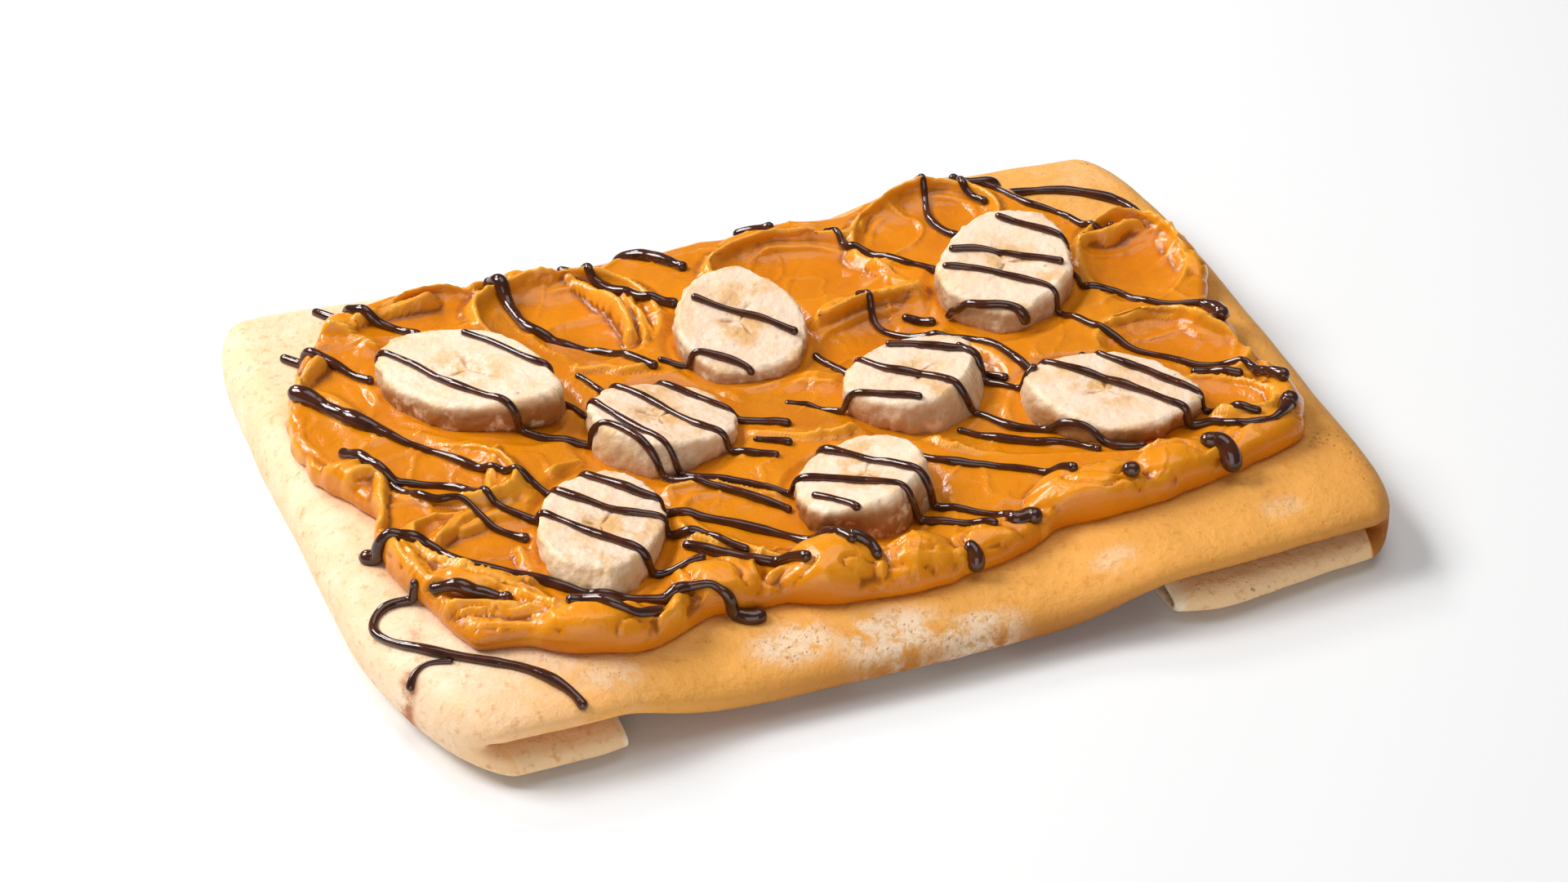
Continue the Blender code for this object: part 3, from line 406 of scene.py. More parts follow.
def section(outer, inner, front, back, columns, crease=ROLL_POWER):
    """One closed cross section of the crepe as rows of X, Y and Z."""
    outer, inner = np.array(outer, float), np.array(inner, float)
    middle = (outer + inner) / 2
    across = np.linspace(-1.0, 1.0, columns)
    across = np.sign(across) * (1.0 - (1.0 - np.abs(across)) ** 2.0)
    share = np.concatenate([across, across[-2:0:-1]])
    side = np.concatenate([np.tile(outer, (columns, 1)), np.tile(inner, (columns - 2, 1))])
    power = np.where(np.arange(len(share)) < columns, ROLL_POWER, crease)
    place = middle + (side - middle) * fullness(share, power)[:, None]
    reach = np.where(share < 0, front - MIDDLE[1], back - MIDDLE[1])
    y = MIDDLE[1] + np.abs(share) * reach
    x = place[:, 0] + end_shift(place[:, 0], y)
    return np.stack([x, y, np.maximum(place[:, 1], 0.0)], 1)


def bend_sections(side, steps, columns):
    """Sections round one end of the fold, from the flap below to the slab above."""
    rows = []
    mid_gap = FLAP_THICK + FOLD_GAP / 2
    x = BEND_LEFT if side < 0 else BEND_RIGHT
    for k in range(steps + 1):
        angle = math.radians(-90 + 180 * k / steps)
        reach = math.cos(angle)
        outer = (x + side * BEND_RADIUS * reach, BEND_RADIUS + BEND_RADIUS * math.sin(angle))
        inner = (x + side * FOLD_GAP / 2 * reach, mid_gap + FOLD_GAP / 2 * math.sin(angle))
        inset = 1.0 - math.sqrt(1.0 - (CREASE_SHARE * reach) ** 2)
        upper = k / steps
        front = upper * along_edge("slab_front", x) + (1 - upper) * along_edge("flap_front", x)
        back = along_edge("back", x)
        rows.append(section(outer, inner, front + CORNER_FRONT * inset,
                            back - CORNER_BACK * inset, columns, CREASE_POWER))
    return rows


def flap_sections(side, end, steps, columns):
    """Sections of a folded-under end, from inside its pocket over the lip and out to the bend."""
    rows = []
    lift = FLAP_THICK / 2
    wall = lift - SHEET / 2
    bend = BEND_LEFT if side < 0 else BEND_RIGHT
    lip = []
    for k in range(9):
        angle = math.radians(-90 + 180 * k / 8)
        lip.append((SHEET * (1 - math.cos(angle)) * LIP_SWELL, wall + SHEET / 2 * math.sin(angle),
                    SHEET / 2 * (1 - math.sin(angle))))
    for depth, half, inset in [*POCKET_WALLS, *lip]:
        x = end + side * depth
        rows.append(section((x, lift - half), (x, lift + half), along_edge("flap_front", x) + inset,
                            along_edge("back", x) - inset, columns))
    start = end + side * SHEET * LIP_SWELL
    for k in range(1, steps):
        x = start + (bend - start) * k / steps
        rows.append(section((x, 0.0), (x, FLAP_THICK), along_edge("flap_front", x),
                            along_edge("back", x), columns, CREASE_POWER))
    return rows


def slab_sections(steps, columns):
    """Sections of the top slab, left to right."""
    rows = []
    for k in range(1, steps):
        x = BEND_LEFT + (BEND_RIGHT - BEND_LEFT) * k / steps
        top = float(crepe_line(x))
        off_left = smooth((x - LEFT_FLAP_END - 1) / SINK_RUN)
        off_right = smooth((RIGHT_FLAP_END - 1 - x) / SINK_RUN)
        down = float(off_left * off_right)
        under = (top - SLAB_THICK) * (1.0 - down)
        rows.append(section((x, top), (x, under), along_edge("slab_front", x), along_edge("back", x),
                            columns, CREASE_POWER + (ROLL_POWER - CREASE_POWER) * down))
    return rows


def grid_faces(rows, around):
    """Faces between closed rings of points."""
    faces = []
    for i in range(rows - 1):
        for k in range(around):
            here, beside = i * around + k, i * around + (k + 1) % around
            faces.append((here, beside, beside + around, here + around))
    return faces


def make_piece(name, points, faces, material, attributes, replaced):
    """A smooth mesh in the object's frame that rides on the root and stands for its CAD node."""
    mesh = bpy.data.meshes.new(name)
    placed = (np.asarray(points, float) - np.array([*MIDDLE, 0.0])) * MM
    mesh.from_pydata(placed.tolist(), [], faces)
    mesh.polygons.foreach_set("use_smooth", [True] * len(mesh.polygons))
    for label, values in attributes.items():
        values = np.asarray(values, float)
        kind = "FLOAT" if values.ndim == 1 else "FLOAT_VECTOR"
        layer = mesh.attributes.new(label, kind, "POINT")
        layer.data.foreach_set("value" if values.ndim == 1 else "vector", values.ravel())
    mesh.materials.append(material)
    mesh.validate()
    mesh.update()
    piece = bpy.data.objects.new(name, mesh)
    bpy.context.scene.collection.objects.link(piece)
    face_outwards(piece)
    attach(piece, "root")
    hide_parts(replaced)


def face_outwards(piece):
    """Turn every face of a closed mesh outwards."""
    mesh = bmesh.new()
    mesh.from_mesh(piece.data)
    bmesh.ops.recalc_face_normals(mesh, faces=mesh.faces)
    mesh.to_mesh(piece.data)
    mesh.free()


def patch_strength(x, y, patches):
    """How strongly any of the listed round patches covers a place, 0 to 1."""
    total = np.zeros_like(x)
    for cx, cy, reach_x, reach_y, strength in patches:
        away = np.hypot((x - cx) / reach_x, (y - cy) / reach_y)
        total = np.maximum(total, strength * smooth(1.6 - away))
    return total


def crepe_points(columns):
    """The folded sheet as one closed sweep, from one flap's end to the other."""
    left = flap_sections(-1, LEFT_FLAP_END, FLAP_STEPS, columns) + bend_sections(-1, BEND_STEPS, columns)
    right = flap_sections(1, RIGHT_FLAP_END, FLAP_STEPS, columns) + bend_sections(1, BEND_STEPS, columns)
    return np.stack(left + slab_sections(SLAB_STEPS, columns) + right[::-1])


def crepe_relief(points):
    """Shallow waves and dents in the soft sheet, along its surface normals."""
    x, y, z = points[..., 0], points[..., 1], points[..., 2]
    along = np.gradient(points, axis=0)
    around = (np.roll(points, -1, axis=1) - np.roll(points, 1, axis=1)) / 2
    normal = np.cross(along, around)
    normal /= np.maximum(np.linalg.norm(normal, axis=2, keepdims=True), 1e-9)
    out = np.sign(np.sum(normal[80:200, 30:50] * np.array([0, 0, 1.0]))) or 1.0
    wave = 0.35 * layered_noise(x + z * 0.7, y - z * 0.6, 26.0, 11)
    wave += 0.12 * layered_noise(x + z, y - z, 6.0, 14)
    dents = -0.5 * bump(np.hypot(x - 100, y + 78), 2.5) - 0.4 * bump(np.hypot(x - 92, y + 80), 2.0)
    clear = smooth((z - 0.4) / 3.0)
    return points + normal * out * ((wave + dents) * clear)[..., None]


def outline_scale():
    """Radius of the spread's outline for each half degree, in units of its half sizes."""
    points = np.array(SPREAD_OUTLINE, float) / np.array(SPREAD_HALF)
    angle = np.degrees(np.arctan2(points[:, 1], points[:, 0])) % 360
    order = np.argsort(angle)
    degrees = np.arange(0, 360, 0.5)
    radius = np.interp(degrees, angle[order], np.hypot(*points.T)[order], period=360)
    kernel = bump(np.arange(-6, 7), 3.0)
    padded = np.concatenate([radius[-6:], radius, radius[:6]])
    radius = np.convolve(padded, kernel / kernel.sum(), "valid")
    none = degrees * 0
    rough = value_noise(degrees, none, 2.2, 31) * 0.5 + value_noise(degrees, none + 40, 5.0, 32)
    rough[-12:] *= np.linspace(1, 0, 12)
    rough[:12] *= np.linspace(0, 1, 12)
    return degrees, radius * (1.0 + 0.008 * rough)


OUTLINE = outline_scale()


def outline_at(angle):
    """Radius of the outline in a direction given in degrees."""
    return np.interp(np.asarray(angle) % 360, *OUTLINE, period=360)


def slice_frame(piece, x, y):
    """Radius of a place as a share of a slice, with the heights of its two faces."""
    cx, cy, along, across, turn, lift, sx, sy, follow = piece
    c, s = math.cos(math.radians(turn)), math.sin(math.radians(turn))
    dx, dy = x - cx, y - cy
    r = np.hypot((dx * c + dy * s) / along, (dy * c - dx * s) / across)
    tilt = sx * dx + sy * dy
    top = crepe_line(cx) + lift + tilt
    rise = np.maximum(tilt + crepe_line(cx) - crepe_line(x) + SLICE_RAISE, 0.0)
    bottom = crepe_line(x) + SLICE_CLEAR + follow * rise
    return r, top, bottom


def knife_stroke(height, shift, thin, x, y, scoop, seed, ripple):
    """Press one stroke into the spread and push up a thin lip that leans over it."""
    cx, cy, turn, along, across, floor, lip, heading = scoop
    c, s = math.cos(math.radians(turn)), math.sin(math.radians(turn))
    # Each place as a share of the stroke's size; the outline wanders a little
    wx = x + STROKE_WANDER * layered_noise(x, y, STROKE_WANDER_SIZE, seed)
    wy = y + STROKE_WANDER * layered_noise(x, y, STROKE_WANDER_SIZE, seed + 7)
    u = ((wx - cx) * c + (wy - cy) * s) / along
    v = ((wy - cy) * c - (wx - cx) * s) / across
    r = np.hypot(u, v)
    # The crest is highest where the knife pushed the spread to, and its height is ragged
    facing = 0.5 + 0.5 * np.cos(np.arctan2(y - cy, x - cx) - math.radians(heading))
    ragged = 1.0 + LIP_RAGGED * layered_noise(x, y, 5.0, seed + 3)
    crest = SPREAD_BASE + lip * facing ** LIP_POWER * ragged
    # Inside, the floor rises to the crest, with knife marks and one inner fold
    marks = np.sin(v * across / GROOVE_SPACING + 2.5 * value_noise(u * 3, v * 3, 1.0, seed + 9))
    bowl = floor + (crest - floor) * (0.55 * np.minimum(r, 1.0) ** 2.2 + 0.45 * np.minimum(r, 1.0) ** 9)
    bowl = bowl + ripple * marks * smooth((1.0 - r) * 4.0) * (0.5 + 0.5 * value_noise(x, y, 9.0, seed + 4))
    bowl = bowl + 0.9 * bump(r - 0.72, 0.05) * facing * smooth(value_noise(x, y, 12.0, seed + 5) * 2)
    # Outside, the crest falls away in a thin lip and then a slope
    beyond = (r - 1.0) * across
    fall = crest - beyond * OUTER_SLOPE - lip * 0.45 * facing * smooth(beyond / 2.2)
    fall = fall + 0.22 * lip * facing * bump(r - 1.24, 0.05)
    outside = np.maximum(height, fall)
    inside = r < 1.0
    on_lip = inside | (fall > height)
    # The lip leans back over the stroke
    lean = LIP_LEAN * lip * facing * bump(np.where(inside, (r - 1.0) * 2.0, (r - 1.0) * 0.8), 0.16)
    away = np.hypot(x - cx, y - cy) + 1e-6
    lean_xy = np.stack([-(x - cx) / away, -(y - cy) / away], -1) * lean[..., None]
    shift = np.where(on_lip[..., None], lean_xy, shift)
    thin = np.where(on_lip, bump(np.where(inside, (r - 1.0) * 2.5, r - 1.0), 0.14) * facing, thin)
    return np.where(inside, bowl, outside), shift, thin


def rope_height(x, y, rope, seed):
    """Height of one twisted rope of spread over the crepe, 0 away from it."""
    width, top, twist, points = rope
    best, place, side = np.full(np.shape(x), 1e9), np.zeros(np.shape(x)), np.zeros(np.shape(x))
    path = curve_points(points, 1.5)
    run = 0.0
    wx = x + 0.9 * layered_noise(x, y, 6.0, seed)
    wy = y + 0.9 * layered_noise(x, y, 6.0, seed + 4)
    for a, b in zip(path, path[1:]):
        ab = b - a
        length = max(ab.length, 1e-6)
        t = np.clip(((wx - a.x) * ab.x + (wy - a.y) * ab.y) / length ** 2, 0.0, 1.0)
        dx, dy = wx - a.x - t * ab.x, wy - a.y - t * ab.y
        away = np.hypot(dx, dy)
        near = away < best
        best = np.where(near, away, best)
        place = np.where(near, run + t * length, place)
        side = np.where(near, np.sign(dx * ab.y - dy * ab.x) * away, side)
        run += length
    # A rounded body that thins at its ends, with twisted grooves
    ends = smooth(np.minimum(place, run - place) / 4.0) * 0.55 + 0.45
    body = np.sqrt(np.clip(1.0 - (best / (width * (0.8 + 0.25 * ends))) ** 2, 0.0, 1.0))
    waver = 0.4 * value_noise(place, side, 9.0, seed + 8)
    strands = np.abs(np.sin(math.pi * (place / STRAND_TWIST_LENGTH + side / width * 0.95 + waver)))
    grooves = 1.0 - 0.26 * twist * (1.0 - strands) ** 2
    return body * top * ends * grooves * (1.0 + 0.12 * value_noise(place, side, 6.0, seed + 9))


def spread_height(x, y, ripple):
    """Thickness of the spread, how far its lips lean, and how thin it is."""
    height = np.full(np.shape(x), SPREAD_BASE) + 0.5 * layered_noise(x, y, 12.0, 51)
    shift = np.zeros(np.shape(x) + (2,))
    thin = np.zeros(np.shape(x))
    for number, scoop in enumerate(SCOOPS):
        height, shift, thin = knife_stroke(height, shift, thin, x, y, scoop, 100 + 20 * number, ripple)
    # Lumps, each with folds of its own
    for number, (cx, cy, turn, along, across, top) in enumerate(LUMPS):
        c, s = math.cos(math.radians(turn)), math.sin(math.radians(turn))
        wx = x + 1.8 * layered_noise(x, y, 9.0, 400 + number)
        wy = y + 1.8 * layered_noise(x, y, 9.0, 430 + number)
        u = ((wx - cx) * c + (wy - cy) * s) / along
        v = ((wy - cy) * c - (wx - cx) * s) / across
        dome = top * np.sqrt(np.clip(1.0 - (u * u + v * v) * LUMP_ROUND, 0.0, 1.0))
        folds = creases(u * 5 + v * 5, v * 2 - u * 2, 2.6, 460 + number, 4.0)
        dome = dome - FOLD_DEPTH * folds * smooth(dome / 4.0)
        height = np.maximum(height, dome)
        shift = np.where((dome >= height - 1e-6)[..., None], 0.0, shift)
    for number, rope in enumerate(ROPES):
        raised = rope_height(x, y, rope, 500 + 12 * number)
        taller = raised > height
        height = np.where(taller, raised, height)
        shift = np.where(taller[..., None], 0.0, shift)
        thin = np.where(taller, 0.35 + 0.3 * value_noise(x, y, 7.0, 470 + number), thin)
    # Fine waves everywhere, and low ridges in patches
    height = height + 0.18 * layered_noise(x, y, 3.4, 71) + 0.4 * layered_noise(x, y, 11.0, 75)
    wx, wy = x + 5 * layered_noise(x, y, 22.0, 83), y + 5 * layered_noise(x, y, 22.0, 87)
    patchy = smooth(value_noise(x, y, 24.0, 89) * 1.5 + 0.2)
    height = height + 1.1 * creases(wx * 0.6 + wy * 0.5, wy - wx * 0.4, 19.0, 81, 12.0) * patchy
    height = height + 0.6 * creases(wx - wy * 0.3, wy * 1.2, 11.0, 85, 10.0) * (1.0 - patchy)
    # A seat below each slice, with a small collar round it
    for piece in SLICES:
        r, top, _ = slice_frame(piece, x, y)
        seat = np.minimum(height, np.minimum(top - crepe_line(x) - SLICE_PROUD, SLICE_BED))
        blend = smooth((1.30 - r) / 0.24)
        height = height + (seat - height) * blend
        height = height + 0.8 * bump(r - 1.07, 0.05) * (0.4 + value_noise(x, y, 8.0, 91))
        shift = shift * (1.0 - blend)[..., None]
        thin = thin * (1.0 - blend)
    return np.maximum(height, LEAST_SPREAD), shift, thin


def spread_plan(cells):
    """Plan place of every point of the spread's top, and its distance from the rim."""
    half = cells // 2
    i, j = np.meshgrid(np.arange(-half, half + 1), np.arange(-half, half + 1), indexing="ij")
    level = np.maximum(np.abs(i), np.abs(j))
    angle = np.arctan2(j, i)
    c, s = np.cos(angle), np.sin(angle)
    edge = outline_at(np.degrees(angle))
    round_box = (np.abs(c) ** SQUIRCLE + np.abs(s) ** SQUIRCLE) ** (-1 / SQUIRCLE)
    reach = np.hypot(c * SPREAD_HALF[0], s * SPREAD_HALF[1]) * edge
    rim = np.array(SPREAD_RIM)
    step = np.clip(half - level, 0, len(rim) - 1)
    inset = rim[step, 0] / reach
    full = rim[step, 1]
    inner = half - len(rim) + 1
    share = (1.0 - inset) * np.minimum(level / inner, 1.0)
    radius = share * (round_box + (edge - round_box) * share ** 2)
    return radius * c * SPREAD_HALF[0], radius * s * SPREAD_HALF[1], full


def ground_lookup(piece):
    """A function that gives a piece's height under a place in plan, looked up from above."""
    tree = BVHTree.FromObject(piece, bpy.context.evaluated_depsgraph_get())

    def height(x, y):
        start = Vector(((x - MIDDLE[0]) * MM, (y - MIDDLE[1]) * MM, 3 * HEIGHT * MM))
        hit = tree.ray_cast(start, Vector((0, 0, -1)))[0]
        return hit.z / MM if hit else 0.0

    return height


def hollowness(height, reach):
    """How far each grid point lies below the average of those around it."""
    soft = np.pad(height, reach, mode="edge")
    for axis in (0, 1):
        total = np.cumsum(np.insert(soft, 0, 0.0, axis=axis), axis=axis)
        far = np.take(total, range(2 * reach + 1, total.shape[axis]), axis=axis)
        soft = (far - np.take(total, range(total.shape[axis] - 2 * reach - 1), axis=axis)) / (2 * reach + 1)
    return soft - height


def spread_points(cells, ripple, ground):
    """The spread's top as a grid of points, with its lips, its rim and what the finish reads."""
    x, y, full = spread_plan(cells)
    height, shift, thin = spread_height(x, y, ripple)
    bed = np.vectorize(ground)(x, y) + SPREAD_LIFT
    px = x + shift[..., 0] * full
    py = y + shift[..., 1] * full
    points = np.stack([px, py, bed + height * full], -1)
    # Painted shade and light: points lower than those around them are shaded darker, and points higher are
    # lit paler
    wide, narrow = hollowness(height, 4) / 3.4, hollowness(height, 2) / 1.6
    hollow = 0.6 * smooth(0.5 + wide) + 0.4 * smooth(0.5 + narrow)
    hollow = 0.5 + (hollow - 0.5) * smooth((full - 0.5) / 0.5)
    return points, thin, height * full, hollow


def spread_faces(cells):
    """Faces of the top grid and of the flat base that closes it."""
    n = cells + 1
    faces = [(i * n + j, (i + 1) * n + j, (i + 1) * n + j + 1, i * n + j + 1)
             for i in range(cells) for j in range(cells)]
    loop = [i * n for i in range(cells)] + [cells * n + j for j in range(cells)]
    loop += [i * n + cells for i in range(cells, 0, -1)] + list(range(cells, 0, -1))
    return faces + [loop]


def slice_points(number, sides, fibre):
    """Rings of a banana slice from the middle of its underside to the middle of its face."""
    piece = SLICES[number]
    cx, cy, along, across, turn = piece[:5]
    c, s = math.cos(math.radians(turn)), math.sin(math.radians(turn))
    angle = np.linspace(0, 2 * math.pi, sides, endpoint=False)
    ca, sa = np.cos(angle), np.sin(angle)
    around = angle * 8 / math.pi
    wobble = 1.0 + 0.021 * (np.sin(3 * angle + number) + np.sin(5 * angle + 2 * number))
    wobble = wobble + 0.036 * value_noise(ca * 3 + 9, sa * 3 + 9, 1.0, 200 + number)
    wobble = wobble + 0.016 * value_noise(ca * 9 + 20, sa * 9 + 20, 1.0, 210 + number)
    heading, taken, right_end, left_end = SLICE_CUTS[number]
    # The cut face is smaller than the underside on the side that the slice slopes towards
    facing = np.maximum(np.cos(angle + math.radians(turn - heading)), 0.0) ** 1.5
    # Each ring's share of the radius and of the height: underside, side, then the cut face
    profile = [(share, 0.0) for share in (0.0, 0.3, 0.6, 0.84)]
    for up in np.linspace(0.0, 1.0, 21):
        barrel = 0.9 + 0.1 * math.sin(math.pi * min(up * 1.25 + 0.08, 1.0) / 1.55) ** 0.8
        profile.append((barrel if up < 0.9 else 0.985 - 1.6 * (up - 0.9) ** 1.4, up))
    last = profile[-1][0]
    profile += [(last * share, 1.0) for share in np.linspace(0.985, 0.0, 26)]
    rows, disc = [], []
    for share, up in profile:
        side_mark = value_noise(around * 2.2, around * 0 + up * 1.6, 0.5, 230 + number)
        fine_mark = value_noise(around * 6, around * 0 + up * 3.0, 0.5, 260 + number)
        on_side = 1.0 if 0.0 < up < 1.0 else 0.0
        reach = share * wobble * (1.0 + on_side * fibre * (0.022 * side_mark + 0.012 * fine_mark))
        u, v = reach * ca, reach * sa
        cut = 1.0 - taken * facing * up
        taper = 1.0 - right_end * np.maximum(u, 0.0) ** 2 - left_end * np.minimum(u, 0.0) ** 2
        cu, cv = u * cut, v * cut * taper
        x, y = cx + along * cu * c - across * cv * s, cy + along * cu * s + across * cv * c
        _, top, bottom = slice_frame(piece, x, y)
        z = bottom + (top - bottom) * up
        if up >= 1.0:
            z = z + face_relief(u, v, number, fibre)
        rows.append(np.stack([x, y, z], -1))
        disc.append(np.stack([u, v, np.full_like(u, up)], -1))
    return np.stack(rows), np.stack(disc)


def face_relief(u, v, number, fibre):
    """Relief of the cut face: a slightly sunken core, three seams and a crumbly grain."""
    r, angle = np.hypot(u, v), np.arctan2(v, u)
    seams = bump(np.sin(1.5 * angle + number), 0.22) * bump(r - 0.16, 0.14)
    grain = layered_noise(u * 20, v * 20, 1.4, 300 + number)
    coarse = layered_noise(u * 20, v * 20, 6.0, 320 + number)
    pull = 0.35 * smooth((r - 0.9) / 0.1)
    return fibre * (0.12 * grain + 0.42 * coarse - 0.5 * seams - 0.45 * bump(r, 0.32) - pull)


def add_node(tree, kind, inputs=None, **settings):
    """Add a node, set its fields, and set or link its inputs by name or number."""
    made = tree.nodes.new(kind)
    for label, value in settings.items():
        setattr(made, label, value)
    for label, value in (inputs or {}).items():
        socket = made.inputs[label]
        if isinstance(value, bpy.types.NodeSocket):
            tree.links.new(value, socket)
        else:
            socket.default_value = value
    return made


def finish_nodes(name):
    """A new material with its tree, shader and object coordinates."""
    material = bpy.data.materials.new(name)
    material.use_nodes = True
    tree = material.node_tree
    shader = tree.nodes["Principled BSDF"]
    place = add_node(tree, "ShaderNodeTexCoord").outputs["Object"]
    return material, tree, shader, place


def mix_colour(tree, factor, a, b):
    """Blend two colours by a factor."""
    made = tree.nodes.new("ShaderNodeMix")
    made.data_type = "RGBA"
    for socket, value in zip((made.inputs[0], made.inputs[6], made.inputs[7]), (factor, a, b)):
        if isinstance(value, bpy.types.NodeSocket):
            tree.links.new(value, socket)
        else:
            socket.default_value = value if not isinstance(value, tuple) else (*value[:3], 1.0)
    return made.outputs[2]


def noise(tree, place, scale, detail=3.0, roughness=0.5, distortion=0.0):
    """A noise texture's value."""
    made = add_node(tree, "ShaderNodeTexNoise", {"Vector": place, "Scale": scale, "Detail": detail,
                                                 "Roughness": roughness, "Distortion": distortion})
    return made.outputs[0]


def steps(tree, value, low, high):
    """Ease a value from 0 at low to 1 at high."""
    made = add_node(tree, "ShaderNodeMapRange", {"Value": value, "From Min": low, "From Max": high},
                    interpolation_type="SMOOTHSTEP")
    return made.outputs[0]


def math_node(tree, operation, a, b=0.0):
    """One arithmetic step."""
    return add_node(tree, "ShaderNodeMath", {0: a, 1: b}, operation=operation).outputs[0]


def attribute(tree, name, output="Fac"):
    """One of the piece's own painted values."""
    return add_node(tree, "ShaderNodeAttribute", attribute_name=name).outputs[output]


def times(tree, a, b):
    """Two values multiplied."""
    return math_node(tree, "MULTIPLY", a, b)


def rest_of(tree, value):
    """What is left of 1 after a value."""
    return math_node(tree, "SUBTRACT", 1.0, value)


def tint(tree, base, factor, share, shade):
    """Blend a colour over a base by a factor times a share."""
    return mix_colour(tree, times(tree, factor, share), base, tuple(shade))


def cells_of(tree, place, scale):
    """Distance from the middle of the nearest of many scattered spots."""
    return add_node(tree, "ShaderNodeTexVoronoi", {"Vector": place, "Scale": scale}).outputs["Distance"]


def set_shader(shader, **values):
    """Set the shader's own sockets, named with underscores."""
    for label, value in values.items():
        shader.inputs[label.replace("_", " ")].default_value = value


def bump_stack(tree, layers):
    """Bumps of several heights, one on the other; gives the last normal."""
    normal = None
    for height, distance, strength in layers:
        inputs = {"Height": height, "Distance": distance, "Strength": strength}
        if normal:
            inputs["Normal"] = normal
        normal = add_node(tree, "ShaderNodeBump", inputs).outputs["Normal"]
    return normal


def crepe_finish(look):
    """Baked batter: pale to golden, mottled, with pits, pale patches and a few brown marks."""
    material, tree, shader, place = finish_nodes("baked_batter")
    broad = noise(tree, place, 28.0, 4.0, 0.55)
    fine = noise(tree, place, 420.0, 4.0, 0.6)
    mottle = noise(tree, place, 130.0, 5.0, 0.65, 0.4)
    cloudy = times(tree, math_node(tree, "ADD", broad, mottle), 0.5)
    golden = math_node(tree, "ADD", attribute(tree, "golden"), cloudy)
    base = mix_colour(tree, steps(tree, golden, 0.0, 1.0), tuple(look.pale), tuple(look.golden))
    # The deep and pocket blends carry painted shade, and the inner blend is partly painted light
    for label in ("deep", "inner", "rim", "pocket"):
        base = mix_colour(tree, attribute(tree, label), base, tuple(getattr(look, label)))
    specks = times(tree, steps(tree, fine, 0.54, 0.72), steps(tree, golden, -0.5, 0.7))
    base = tint(tree, base, specks, 0.5, look.toasted)
    patch = times(tree, attribute(tree, "patch"), steps(tree, mottle, 0.36, 0.52))
    web = noise(tree, place, 520.0, 4.0, 0.7, 0.6)
    dry = mix_colour(tree, steps(tree, web, 0.47, 0.64), tuple(look.dry), tuple(look.dusty))
    base = mix_colour(tree, times(tree, patch, 0.78), base, dry)
    marks = times(tree, attribute(tree, "mark"), steps(tree, mottle, 0.35, 0.6))
    base = tint(tree, base, marks, 0.85, look.scorched)
    some = steps(tree, noise(tree, place, 75.0, 2.0), 0.50, 0.62)
    porous = math_node(tree, "MAXIMUM", times(tree, some, attribute(tree, "pores")), times(tree, patch, 0.4))
    holes = times(tree, rest_of(tree, steps(tree, cells_of(tree, place, 620.0), 0.08, 0.30)), porous)
    base = tint(tree, base, holes, 0.6, look.pit)
    tree.links.new(base, shader.inputs["Base Color"])
    tree.links.new(steps(tree, fine, -0.6, 1.2), shader.inputs["Roughness"])
    set_shader(shader, Specular_IOR_Level=0.35, Subsurface_Weight=0.12,
               Subsurface_Radius=(1.0, 0.5, 0.25), Subsurface_Scale=0.003)
    normal = bump_stack(tree, ((fine, 0.0007, look.crumb), (mottle, 0.0016, look.crumb),
                               (rest_of(tree, holes), 0.0008, 0.8)))
    tree.links.new(normal, shader.inputs["Normal"])
    return material


def spread_finish(look):
    """Thick spread: amber, paler where it is thin, with painted shade in its folds and low places, painted
    light on its crests, and a wet gloss.
    """
    material, tree, shader, place = finish_nodes("glossy_spread")
    broad = noise(tree, place, 45.0, 3.0, 0.5)
    fine = noise(tree, place, 700.0, 4.0, 0.6)
    ripple = noise(tree, place, 190.0, 5.0, 0.6, 1.2)
    hollow = attribute(tree, "hollow")
    # Painted shade: the spread is darker where it is low, in its scoop floors and at the foot of its rim
    deep = steps(tree, attribute(tree, "depth"), 1.0, 10.0)
    base = mix_colour(tree, deep, tuple(look.deep), tuple(look.amber))
    # The last two blends are painted light and shade: paler crests, and darker folds and spread under lips
    for factor, share, shade in ((steps(tree, broad, 0.35, 0.7), 0.5, look.amber),
                                 (attribute(tree, "thin"), 0.7, look.pale),
                                 (steps(tree, fine, 0.6, 0.8), 0.15, look.pale),
                                 (steps(tree, hollow, 0.5, 0.1), 0.38, look.pale),
                                 (steps(tree, hollow, 0.57, 0.95), 0.95, look.shadow)):
        base = tint(tree, base, factor, share, shade)
    tree.links.new(base, shader.inputs["Base Color"])
    wet = add_node(tree, "ShaderNodeMapRange", {"Value": ripple, "From Min": 0.3, "From Max": 0.7,
                                                "To Min": look.roughness - 0.06,
                                                "To Max": look.roughness + 0.1}).outputs[0]
    tree.links.new(wet, shader.inputs["Roughness"])
    set_shader(shader, Specular_IOR_Level=0.3, Subsurface_Weight=0.1, Subsurface_Radius=(1.0, 0.45, 0.1),
               Subsurface_Scale=0.003, Coat_Weight=0.25, Coat_Roughness=0.06)
    normal = bump_stack(tree, ((ripple, 0.0014, 0.32), (fine, 0.0003, 0.25)))
    tree.links.new(normal, shader.inputs["Normal"])
    return material


